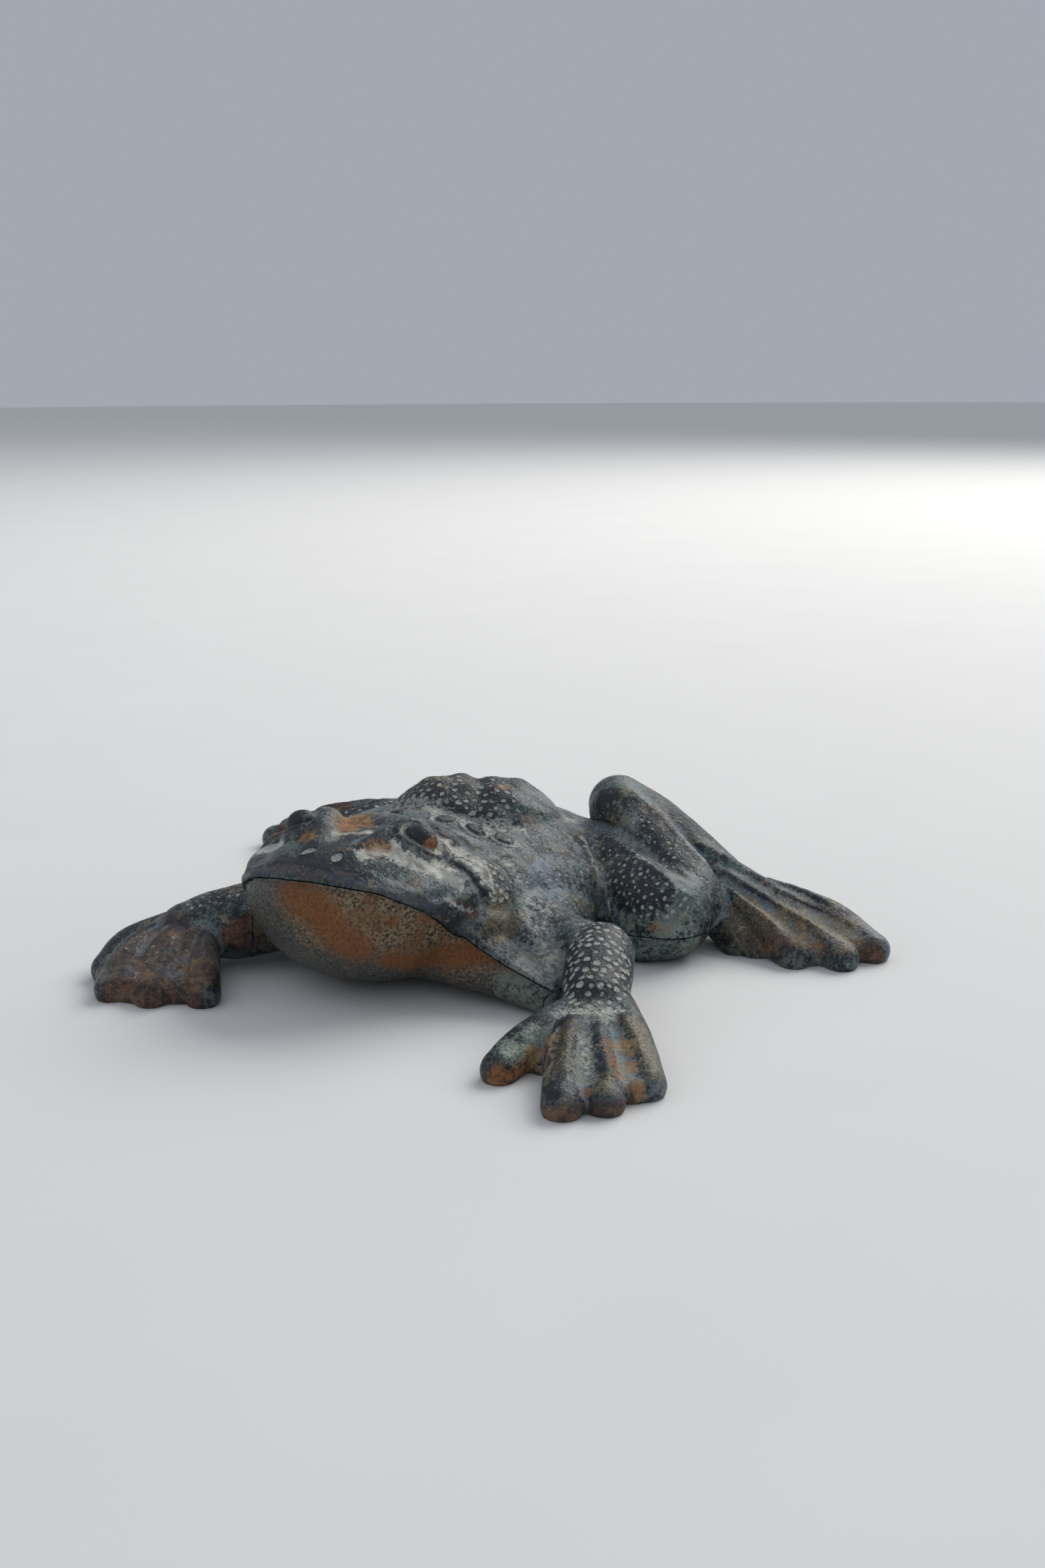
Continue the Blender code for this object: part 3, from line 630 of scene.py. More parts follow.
RIGHT_LEG_RIDGES = [
    ([(-20, 60, 23), (-30, 57, 21.5), (-40, 52, 18), (-46, 51, 14)], 0.8, 1.4),
    ([(-45, 57, 13), (-42, 65, 15.5), (-38, 75, 17)], 0.7, 1.3),
    ([(-40, 79, 17), (-52, 80, 13), (-62, 78, 9.5), (-69, 74.5, 7)], 0.6, 1.1),
    ([(-46, 82, 15.5), (-58, 82.5, 12), (-68, 80.5, 9), (-75, 79, 7)], 0.6, 1.1),
    ([(-48, 85, 14.5), (-58, 86, 11.5), (-68, 87, 9), (-76, 87.5, 7)], 0.6, 1.1),
    ([(-50, 87, 13), (-58, 89.5, 10.5), (-66, 93, 8), (-71, 95, 7)], 0.6, 1.1),
]
RIGHT_LEG_GROOVES = [
    ([(-52, 79, 12, 0.9), (-62, 78.5, 8.6, 1.2), (-71, 76, 5, 1.8)], 1.0),
    ([(-54, 83.5, 12, 0.9), (-64, 83.8, 8.4, 1.2), (-74, 83, 5, 1.8)], 1.0),
    ([(-54, 87, 11, 0.9), (-64, 89.5, 7.6, 1.2), (-72, 91.6, 4.6, 1.8)], 1.0),
]
# Zones of dimples: line with its reach, spacing, size, depth, seed, patina and its strength
EAR_PATCH = [(22.5, 2.5, 28.3, 3.4), (25.5, 3, 25.3, 4.2), (28, 3.6, 22.4, 2.8)]
DIMPLES = [
    ([(50.5, 2, 17.5, 5), (53.5, -3.5, 17, 6.2), (56.5, -10, 14.5, 7), (59, -16.5, 11.5, 6.6),
      (61, -19.5, 10.5, 5)],
     1.72, 0.80, 0.16, 11, "dots", 1.0),
    ([(32, 42.5, 20.5, 2.4), (38, 39.5, 19.6, 3.4), (44, 34.8, 17.5, 4.6), (50, 31.5, 15.5, 5),
      (56, 31.5, 14, 3.6)],
     1.62, 0.52, 0.13, 12, "dots", 0.95),
    ([(41.5, 48.5, 26.4, 2.4), (45, 46.5, 24.4, 3.6), (50, 44, 21, 4), (56, 42, 18.5, 3.2)],
     1.62, 0.48, 0.11, 13, "dots", 0.8),
    ([(-10, 36, 32, 6), (-2, 36, 33, 6), (6, 37, 32, 6),
      (12, 38, 30.5, 5)], 1.75, 0.64, 0.18, 14, "dots", 1.1),
    ([(-8, 48, 33, 9), (2, 50, 33.5, 9), (8, 58, 30, 9)], 1.85, 0.62, 0.17, 15, "dots", 1.0),
    ([(24, 27, 23, 7), (30, 24, 19, 7), (34, 23, 15, 6),
      (37, 26, 10, 5)], 1.75, 0.56, 0.1, 16, "soft", 1.0),
    ([(26, 12, 25, 3.5), (31, 11, 21, 4), (35.5, 8.5, 17.5, 4)], 1.8, 0.52, 0.1, 17, "soft", 1.0),
    ([(24, 40, 22, 6), (30, 34, 20, 6)], 1.9, 0.54, 0.1, 18, "soft", 0.9),
    ([(-26, 24, 21, 9), (-31, 30, 15, 8), (-30, 38, 17, 8)], 1.9, 0.58, 0.11, 19, "soft", 1.0),
    ([(-22, 56, 21, 5), (-32, 52, 20, 6), (-41, 50, 17, 6)], 1.62, 0.54, 0.13, 20, "dots", 0.9),
    ([(-45, 57, 13, 4), (-42, 65, 15, 5), (-38, 74, 16, 4)], 1.62, 0.52, 0.12, 21, "dots", 0.85),
    ([(-24, 5, 18, 4), (-30, -2, 17, 5), (-36, -8, 14, 4.5)], 1.6, 0.52, 0.13, 22, "dots", 0.75),
    ([(10, 66, 20, 8), (-8, 68, 19, 8)], 2.0, 0.62, 0.12, 23, "soft", 1.0),
    (EAR_PATCH, 1.4, 0.6, 0.14, 24, "dots", 1.3),
    (mirror(EAR_PATCH), 1.4, 0.6, 0.14, 25, "dots", 1.3),
]
# Zones where the ground between the dimples stays black
BLACK_GROUND = DIMPLES[:5] + DIMPLES[9:12]

TONES = ("dust", "rust", "green", "dark", "dots", "brown", "painted_sheen", "olive", "lip", "soft", "ochre",
         "cavity")
# Patina, painted shade and painted sheen on both sides, for each tone: lines, with their radius and
# strength
PAINT_BOTH_SIDES = {
    "dark": [
        (BROW_RIDGE, 1.8, 0.95),
        ([(0, -20.5, 30), (7, -19.5, 29.6), (12, -18.2, 28.6)], 2.6, 0.85),
        ([(16, 4, 31.5), (20, 1, 28.4), (25.4, -1.1, 25.6), (27.4, 1.6, 21.6)], 1.1, 1.0),
        # painted shadow along the step down behind the back edge of the tympanum
        ([(27.8, 8.6, 25), (30, 6.5, 22), (30, 3.5, 19.8)], 1.0, 1.0),
        ([(23.5, 5, 26.6), (26, 5.4, 24.4), (28, 5.2, 22)], 2.6, 0.7),
        ([(-10.8, -2.9, 35), (-8, -6.2, 34.4), (-8.6, -9.4, 32.6), (-9, -12.6, 31)], 3.2, 1.1),
        # painted shade in the fold behind the head, down over the neck
        ([(33.7, 12.6, 18.7), (38.4, 5.4, 16.2), (38.4, 1.1, 13.7)], 2.4, 0.9),
    ],
    "dust": [
        ([(13.8, -10.4, 30.2), (17.7, -8.9, 28.3), (22.6, -7.4, 26), (25.7, -5.5, 23.9)], 1.9, 1.4),
        ([(17.5, -5.5, 29.5), (20.5, -5.6, 27.6), (23, -5, 25.8)], 1.8, 1.0),
        ([(22, -11.5, 23.4), (25, -7.6, 21), (27, -4, 19)], 0.8, 0.75),
        ([(16.5, 3, 31.6), (19, 2.6, 30), (21.5, 2.6, 28.4)], 2.9, 1.25),
        ([(21, 0.4, 28.6), (24, -0.2, 26.4), (27.6, 2.2, 22)], 1.3, 1.1),
        ([(21, 3.5, 27.8), (24, 2.8, 26), (27, 3, 23.5)], 2.6, 0.95),
        (NECK_VALLEY, 3.0, 0.6),
        (HEAD_FOLD, 1.5, 0.5),
    ],
    "soft": [
        (NECK_VALLEY, 5.0, 0.8),
    ],
    # painted sheen: a bluish sky reflection laid as colour on the tops of the shoulders and the brows
    "painted_sheen": [
        ([(26, 20, 22), (34, 22, 14)], 12, 0.8),
        ([(6, -8, 34), (14, 4, 33)], 6, 0.4),
    ],
    "olive": [
        ([(27.5, -1.5, 18.5), CHEEK, (33.7, 1.1, 13.6)], 5.6, 1.3),
        ([(40.2, 1.7, 13.8), (40.5, -2, 9.9)], 2.6, 0.6),
    ],
    "brown": [
        ([CHEEK], 4.4, 0.35),
        ([(24.5, -7.5, 21.5), (27.6, -4, 18.2)], 1.6, 0.8),
    ],
    "rust": [
        ([(6.4, -13.5, 31.8), (8, -10.3, 32.4), (11.1, -9.7, 32)], 2.0, 0.75),
    ],
}
# Patina and painted sheen on one side
PAINT = {
    "dark": [
        ([(-7, -15, 31), (0, -17, 31), (7, -15, 31)], 4, 0.9),
    ],
    "dust": [
        ([(6.4, -16.3, 31), (7.9, -12.8, 31.2), (9.4, -10.6, 31.6), (12, -11, 30.4),
          (15, -10.6, 29.2)], 2.0, 1.1),
        ([(9.4, -7.6, 33.4), (10.8, -8.2, 32.4), (12.6, -9.4, 31), (14.8, -9, 30.4)], 1.3, 1.1),
        ([(-5, -8, 33.4), (-1.5, -6.6, 33.1), (1.4, -5, 33.1), (3, -2.5, 33.1)], 1.6, 0.9),
        (HUMP_FOOT, 2.8, 0.85),
        ([(4, 27, 29), (0, 24, 30)], 3, 0.6),
        (THIGH_FRONT, 1.7, 0.9),
        ([(20, 57, 24), (26, 49, 23), (31, 44, 20)], 3.4, 0.75),
        (THIGH_CREST, 1.2, 0.62),
        (SHANK_CREST, 1.7, 0.55),
        (HIP_FOLD, 1.6, 0.6),
        (WRIST, 1.7, 0.75),
        ([(62.3, -30.2, 8.9), (65.3, -36.1, 7.1), (68, -40.6, 5.4)], 1.5, 0.7),
        ([(56.4, -28.6, 8.2), (58.5, -37, 6.7)], 1.0, 0.6),
        ([(49, -38, 4.6), (51.5, -35, 5.4), (54, -30, 6)], 1.6, 0.45),
        ([(-41, -27, 7.6), (-44, -21, 9)], 2.4, 0.45),
    ],
    "soft": [
        ([(32, 52, 33), (35, 50, 30)], 4, 0.35),
        ([(36, 48, 28), (38, 47, 26), (41, 44, 23)], 4.5, 0.95),
        ([(36.3, 41, 20), (36.7, 36.9, 15.9), (40.2, 33.5, 9.6)], 3.6, 0.8),
        ([(36, -4, 11), (39.9, -4.3, 9.5), (44.3, -5.9, 7)], 4, 0.9),
    ],
    # painted sheen: a bluish sky reflection laid as colour on the top of the left thigh
    "painted_sheen": [
        ([(36, 46, 27), (50, 40, 20)], 6, 0.45),
    ],
    "green": [
        ([(42, 31, 9), (49, 28.8, 10), (56, 29, 9.5), (61, 34, 9.5)], 4.2, 0.8),
        ([(42, 31, 4), (52, 28, 3.5), (61, 32, 4)], 3.0, 0.6),
        ([(34, -5, 6), (40, -6.5, 4), (44, -6.5, 3)], 4, 0.75),
        ([(24, 53, 28), (27, 51, 25)], 3, 0.6),
        ([(63.4, -25.4, 9.7), (66, -22.6, 9.2)], 1.8, 0.85),
        ([(64, -35, 7.6), (68, -41.4, 5.2)], 2.6, 0.6),
        ([(59, -39, 6.6), (62, -46, 4)], 2.0, 0.7),
        ([(49, -38, 4), (52.5, -34, 5.6), (55, -28, 7)], 3.4, 1.1),
        ([(32, -7, 7), (37, -7, 6), (42, -7.5, 4)], 4, 0.8),
    ],
    "olive": [
        ([(-8, 38, 33), (4, 42, 34)], 5, 0.6),
        ([(24, 52, 24), (33, 40, 17), (37, 36, 11)], 3.0, 0.7),
        ([(44, 54, 26), (52, 55, 20)], 4, 0.5),
        ([(32, 50, 30), (36, 47, 25)], 3, 0.6),
        ([(62, 48, 10), (68, 48, 7), (76, 51, 7.3), (84, 52, 6), (93, 53, 4)], 7, 1.0),
        ([(56, -22, 9), (62, -24, 9.6)], 4.5, 0.55),
        ([(69.7, -39.7, 6.2), (73, -44.8, 4.1)], 3.2, 0.8),
        ([(73.5, -28.6, 7), (77.5, -33.9, 4.8)], 2.6, 0.8),
        ([(-47, -28, 6), (-43, -20, 9)], 3.2, 0.9),
        ([(-26, -24, 8), (-21, -31, 4)], 3.4, 0.9),
        ([(58, -27, 9), (61, -38, 8), (64, -47, 5)], 2.8, 0.8),
        ([(66, -20, 9), (72, -26, 8), (77, -32, 6), (80, -36, 4)], 3.6, 0.9),
        ([(-36, -16, 10), (-42, -24, 7)], 4, 0.6),
    ],
    "brown": [
        ([(66, 47, 5), (76, 45, 4), (88, 47, 4)], 4, 0.6),
        ([(92, 48, 3), (96, 54, 3)], 3.5, 0.9),
        ([(45, -38, 1), (50, -43, 0.8), (60, -46, 0.8), (67, -52, 1), (74, -47, 1),
          (79, -37, 1)], 2.6, 0.9),
        ([(66, -12, 8), (67, -16, 6), (72, -22, 5)], 3, 0.7),
        ([(-34, -14, 9), (-36, -26, 6), (-38, -36, 3)], 12, 0.75),
        ([(-30, -20, 6), (-22, -30, 4)], 6, 0.7),
        ([(-42.6, -36.4, 4.8), (-38.4, -35.6, 2.7), (-30.8, -36.2, 2.9), (-27.2, -31.7, 2.6),
          (-20.1, -30.8, 3.4)], 5.5, 1.1),
        ([(-28, -10.1, 12), (-24.6, -8.9, 9), (-22, -8, 5)], 5.5, 1.2),
        ([(-52, 82, 9), (-66, 80, 6), (-76, 80, 4)], 12, 1.0),
    ],
    "rust": [
        ([(-8.5, 6, 33), (-6, 3, 32.6), (-4, -0.5, 32.6), (-2.4, -3, 33), (-0.6, -2.5, 33)], 3.7, 1.4),
        ([(-2.5, 2, 33), (0.4, -1, 33)], 2.2, 1.0),
        ([(10.4, 40.5, 32.4), (9.4, 43, 33.2)], 2.0, 0.75),
        ([(52.6, 28.3, 9.9)], 1.3, 1.0),
        ([(76.6, 50.8, 7.3), (80, 50, 7)], 2, 0.6),
        ([(66, 52, 10), (72, 52, 9)], 1.8, 0.5),
        ([(83, 48.4, 4.6), (86, 46.6, 4)], 2.0, 0.6),
        ([(69.9, -45.1, 2.6), (68.7, -43.4, 4.4)], 1.5, 0.85),
        ([(53.9, -31.6, 5), (53.3, -34, 3), (56.2, -29.5, 8)], 2.0, 0.85),
        ([(56.2, -29.5, 8), (58.5, -37.6, 6.5), (60.3, -42, 5)], 1.1, 0.7),
        ([(47.7, -40.9, 2.2), (52.1, -39.3, 1.5), (54.5, -34, 1.3)], 2.4, 1.1),
        ([(68.4, -26.6, 7.8), (71.4, -30.9, 6.3), (74.3, -35.7, 4.3)], 1.7, 0.75),
        ([(-27, -8, 9), (-31, -11, 9)], 3, 0.45),
        ([(67, -30, 8.4), (70, -35, 7), (73, -40, 4.6)], 1.4, 0.8),
        ([(75, -38, 2.6), (77, -36, 3)], 1.8, 0.9),
    ],
}
# The throat: orange rust on both sides of a gritty ochre field
THROAT = [
    ("ochre", [(4, -25, 21), (12.8, -22.3, 22), (17.6, -19, 19.5), (21.5, -14.2, 17),
               (26, -8.1, 15)], 8.5, 1.1),
    ("rust", [(-2.5, -25.2, 25), (3.1, -25.3, 22), (5.8, -24.4, 18.7), (9, -22, 14.5)], 5.0, 1.05),
    ("rust", [(14, -16, 11.5), (18.3, -10, 10), (24.8, -8, 10.8), (30.3, -5.6, 12.1),
              (35, -4, 11)], 3.6, 1.05),
    ("rust", [(16.5, -19.5, 20.5)], 1.6, 1.0),
    ("rust", [(22, -14, 20), (26, -9, 17), (31, -6, 14)], 1.6, 0.7),
]


def mirrored(centre, long_way, side):
    """The place and direction of a feature on the left (1) or right (-1) side."""
    (x, y, z), (u, v, w) = centre, long_way
    return (x * side, y, z), (u * side, v, w)


def dome(edge, rim):
    """Height of a half ball, 1 in the middle and 0 from the rim on."""
    return np.sqrt(np.clip(1 - (edge / rim) ** 2, 0, 1))


def chase(skin):
    """Works the ridges, folds, warts and dimples into the form."""
    for side in (lambda p: p, mirror):
        chisel(skin, side(BROW_RIDGE[:9]), 0.4, 1.8, ends=0.15)
        chisel(skin, side(BROW_RIDGE[7:]), 0.4, 1.1, ends=0.2)
        chisel(skin, side(HEAD_FOLD), -0.5, 2.0)
        chisel(skin, side(NECK_VALLEY), -0.5, 2.6)
        chisel(skin, side(LIP_TOP[1:]), 0.22, 0.8, ends=0.3)
        blob(skin, side([CHEEK])[0], 5.5, 0.45)
    for points, height in LEFT_RIDGES + RIGHT_RIDGES + FOOT_RIDGES:
        chisel(skin, points, 0.75 * height, 1.3)
    for points, height, width in RIGHT_LEG_RIDGES:
        chisel(skin, points, height, width)
    for points, depth in LEFT_GROOVES + RIGHT_GROOVES + FOOT_GROOVES + RIGHT_LEG_GROOVES:
        chisel(skin, points, -0.55 * depth, 1.5, ends=0.1)
    chisel(skin, WRIST, -0.35, 1.6)
    chisel(skin, THIGH_FRONT, 0.7, 1.3)
    chisel(skin, THIGH_CREST, 0.8, 1.2)
    chisel(skin, KNEE_VALLEY, -1.1, 1.8)
    chisel(skin, SHANK_CREST, 0.7, 1.5)
    chisel(skin, SHANK_BACK, 0.5, 1.2)
    chisel(skin, HIP_FOLD, -0.9, 1.6)
    chisel(skin, HUMP_FOOT, -0.7, 2.0)
    chisel(skin, SPINE_FOLD, 0.5, 1.6)
    for x, y, z, radius, height in HUMP_LUMPS:
        blob(skin, (x, y, z), radius, height)
    skin.settle()

    for side in (1, -1):
        centre, long_way, radii = TYMPANUM
        some, edge, angle = oval(skin, *mirrored(centre, long_way, side), radii)
        skin.lift[some] += 0.45 * smoothstep(1.15, 0.85, edge) - 0.25 * bell(edge, 1.2, 0.12)
        centre, long_way, radii = EYE
        some, edge, angle = oval(skin, *mirrored(centre, long_way, side), radii)
        skin.lift[some] += (1.35 * dome(edge, 0.97) - 0.6 * bell(edge, 1.05, 0.12)
                            + 0.25 * bell(edge, 1.36, 0.22))
        ball = smoothstep(1.0, 0.85, edge)
        outer = smoothstep(0.35, 0.65, edge * np.cos(angle)) * smoothstep(1.35, 1.1, edge) * (side > 0)
        skin.stain("dots", some, 0.8 * bell(edge, 1.1, 0.19))
        skin.stain("rust", some, outer * 0.9)
        skin.stain("dark", some, 1.3 * ball * (1 - outer))
        skin.stain("dark", some, 0.9 * bell(edge, 1.36, 0.18) * (1 - outer))
        skin.lift[some] += 0.03 * np.sin(edge * 2 * np.pi / 0.16 + 1.5 * np.sin(angle * 2)) * ball
    for centre, long_way, radii in WARTS:
        some, edge, angle = oval(skin, centre, long_way, radii)
        skin.lift[some] += (0.7 * dome(edge, 0.92) - 0.45 * bell(edge, 1.04, 0.14)
                            + 0.3 * bell(edge, 1.4, 0.2))
        skin.stain("dots", some, 0.85 * bell(edge, 1.12, 0.24, 4))
        skin.stain("dark", some, smoothstep(0.95, 0.75, edge))
    for centre, long_way, radii in NOSTRILS:
        some, edge, angle = oval(skin, centre, long_way, radii)
        edge = edge * (1 + 0.12 * np.cos(angle))
        skin.lift[some] += -0.35 * smoothstep(1.1, 0.8, edge) + 0.15 * bell(edge, 1.3, 0.2)
        skin.stain("dots", some, smoothstep(1.08, 0.92, edge))
    some, edge, angle = oval(skin, BLISTER, (1, 0, 0), (1.2, 1.2), 3)
    skin.lift[some] += 0.3 * bell(edge, 1, 0.35) - 0.15 * bell(edge, 0, 0.5)

    # The lip stands over the throat, and the crack between the castings is worn round
    above = parting_gap(skin.at)
    within = in_plan(skin.at, 1.5)
    lip = within * smoothstep(8, 2, skin.at[:, 1])
    under = smoothstep(0.3, -0.3, above) * bell(above, 0, 2.6)
    skin.lift += lip * (0.28 * bell(above, 1, 1.2) - 0.45 * under)
    skin.lift -= within * 0.3 * bell(above, 0, 0.42)
    skin.settle()

    for points, spacing, size, depth, seed, tone, amount in DIMPLES:
        dimples(skin, points, spacing, size, depth, seed, tone, amount)
    # Cast texture: rough below the lip, fine elsewhere
    rough = smoothstep(0.6, -0.2, above) * within
    skin.lift += (noise(skin.at, 1.5, 3, 3) * (0.035 + 0.11 * rough)
                  + noise(skin.at, 5, 4, 2) * (0.10 + 0.10 * rough))
    for points in both(LIP_MIDDLE):
        some, distance, way, mm = skin.near(points, 2.4)
        band = smoothstep(1.9, 1.2, distance) * smoothstep(-0.1, 0.3, above[some])
        lines = noise(np.stack([mm, mm * 0, mm * 0], 1), 0.75, 9, 2)
        skin.lift[some] += 0.04 * band * lines
        skin.stain("lip", some, band * (0.75 + 0.45 * lines))
    skin.settle()


def tint(skin):
    """Paints where each patina, the painted shade and the painted sheen lie."""
    for tone, strokes in PAINT_BOTH_SIDES.items():
        for points, radius, amount in strokes:
            for line in both(points):
                paint(skin, tone, line, radius, amount)
    for tone, strokes in PAINT.items():
        for points, radius, amount in strokes:
            paint(skin, tone, points, radius, amount)
    for points, height in LEFT_RIDGES + RIGHT_RIDGES + FOOT_RIDGES:
        paint(skin, "dark", points, 1.5, 0.7)
    for points, depth in LEFT_GROOVES + RIGHT_GROOVES + FOOT_GROOVES + RIGHT_LEG_GROOVES:
        paint(skin, "dust", points, 1.3, 0.3)
    for points, *rest in BLACK_GROUND:
        paint(skin, "dark", points, 5, 1.0, ends=0.05)
    gap = parting_gap(skin.at)
    lip = gap > 0.2
    kept = skin.tone["rust"][lip]
    for tone, points, radius, amount in THROAT:
        paint(skin, tone, points, radius, amount, ends=0)
    skin.tone["rust"][lip] = kept
    skin.tone["ochre"][lip] = 0
    skin.tone["throat"] = smoothstep(0.1, -0.5, gap) * in_plan(skin.at, 0.5) * (skin.at[:, 1] < 12)
    # Hollows hold dust and crests are worn: how far the skin lies below its own average
    for steps, share in ((6, 7), (40, 2.6)):
        mean = np.stack([skin.averaged(skin.at[:, k], steps) for k in range(3)], 1)
        skin.tone["cavity"] += ((mean - skin.at) * skin.out).sum(1) * share
    skin.tone["cavity"] = np.clip(skin.tone["cavity"], 0, 1)


def parting_height(x, y):
    """Height of the parting surface between the castings."""
    rows = np.array(PARTING)
    height, share = np.interp(y, rows[:, 0], rows[:, 1]), np.interp(y, rows[:, 0], rows[:, 2])
    fall = np.interp(x, *np.array(DROOP, float).T)
    return height - fall * share


def parting_gap(places):
    """Distance above (or below, when negative) the parting surface, mm."""
    x, y, z = places.T
    step = 0.5
    here = parting_height(x, y)
    slope = np.hypot(parting_height(x + step, y) - here, parting_height(x, y + step) - here) / step
    return (z - here) / np.hypot(1, slope)


def in_plan(places, margin):
    """1 inside the plan of the lower casting, falling to 0 over the margin outside it."""
    rows = np.array(PARTING_PLAN, float)
    x, y = places[:, 0], places[:, 1]
    right, left = np.interp(y, rows[:, 0], rows[:, 1]), np.interp(y, rows[:, 0], rows[:, 2])
    return smoothstep(-margin, 0, np.minimum(np.minimum(x - right, left - x), y - rows[0, 0]))


# ---------------------------------------------------------------- castings
def block(name, outline, low, high):
    """Upright prism over a plan outline."""
    shape = bmesh.new()
    bottom = [shape.verts.new((x, y, low)) for x, y in outline]
    top = [shape.verts.new((x, y, high)) for x, y in outline]
    shape.faces.new(bottom[::-1])
    shape.faces.new(top)
    for k in range(len(outline)):
        m = (k + 1) % len(outline)
        shape.faces.new((bottom[k], bottom[m], top[m], top[k]))
    bmesh.ops.triangulate(shape, faces=shape.faces)
    mesh = bpy.data.meshes.new(name)
    shape.to_mesh(mesh)
    shape.free()
    return link(name, mesh)


def cylinders(name, radius, low, high):
    """An upright cutting cylinder at each boss."""
    angles = np.linspace(0, 2 * math.pi, 48, endpoint=False)
    outlines = [[(radius * math.cos(a), y + radius * math.sin(a)) for a in angles] for y in BOSS_Y.values()]
    return [(block(name, outline, low, high), "DIFFERENCE") for outline in outlines]


def parting_block(grow):
    """The space that the lower casting is cut from; its top wanders a little, as the real joint does."""
    xs = np.arange(-PARTING_REACH, PARTING_REACH + 1, 1.0)
    ys = np.arange(PARTING_PLAN[0][0], PARTING_PLAN[-1][0] + 1, 1.0)
    x, y = (grid.ravel() for grid in np.meshgrid(xs, ys, indexing="ij"))
    wander = PARTING_WANDER * noise(np.stack([x, y, x * 0], 1), 5, 21, 3)
    z = parting_height(x, y) + grow + wander
    count, across = len(x), len(ys)
    places = np.concatenate([np.stack([x, y, z], 1), np.stack([x, y, z * 0 + PARTING_LOW], 1)])

    def halves(a, b, c, d):
        return np.concatenate([np.stack([a, b, c], 1), np.stack([a, c, d], 1)])

    cell = (np.arange(len(xs) - 1)[:, None] * across + np.arange(across - 1)).ravel()
    top = halves(cell, cell + across, cell + across + 1, cell + 1)
    faces = [top, top[:, ::-1] + count]
    left = np.arange(across - 1)
    right = left + (len(xs) - 1) * across
    front = np.arange(len(xs) - 1) * across
    back = front + across - 1
    for start, step, flip in ((left, 1, False), (right, 1, True),
                              (front, across, True), (back, across, False)):
        wall = halves(start, start + step, start + step + count, start + count)
        faces.append(wall[:, ::-1] if flip else wall)
    made = link("parting", to_mesh("parting", places, np.concatenate(faces)))
    right = [(right - grow, y) for y, right, left in PARTING_PLAN]
    left = [(left + grow, y) for y, right, left in PARTING_PLAN]
    return combined(made, [(block("plan", left + right[::-1], CUT_LOW, CUT_HIGH), "INTERSECT")])


def combined(target, tools):
    """Target cut by each tool in turn; the tools are used up."""
    for tool, operation in tools:
        step = target.modifiers.new(operation, "BOOLEAN")
        step.object = tool
        step.operation = operation
        step.solver = "MANIFOLD"
    name = target.name
    mesh = evaluated(target)
    for tool, operation in tools:
        bpy.data.objects.remove(tool)
    return link(name, mesh)


def core():
    """What the castings are hollowed by; it leaves the bosses standing."""
    made = link("core", fused([egg(centre, sizes) for centre, sizes in CORE], CORE_VOXEL, CORE_ROUNDING))
    return combined(made, cylinders("boss", BOSS_RADIUS, CUT_LOW, CUT_HIGH))


def casting(name, skin_mesh, parting, tools=()):
    """One casting, cut from the whole skin and placed in the frame."""
    square = [(x * GROUND_REACH, y * GROUND_REACH) for x, y in ((-1, -1), (1, -1), (1, 1), (-1, 1))]
    ground = block("ground", square, GROUND_LOW, 0)
    holes = cylinders("hole", HOLE_RADIUS, CUT_LOW, HOLE_TOP)
    made = combined(link(name, skin_mesh), [(ground, "DIFFERENCE"), parting, (core(), "DIFFERENCE"),
                                            *holes, *tools])
    mesh = made.data
    mesh.transform(Matrix.Translation(ORIGIN) @ Matrix.Scale(MM, 4))
    mesh.shade_smooth()
    mesh.set_sharp_from_angle(angle=SHARP_EDGE)
    return made


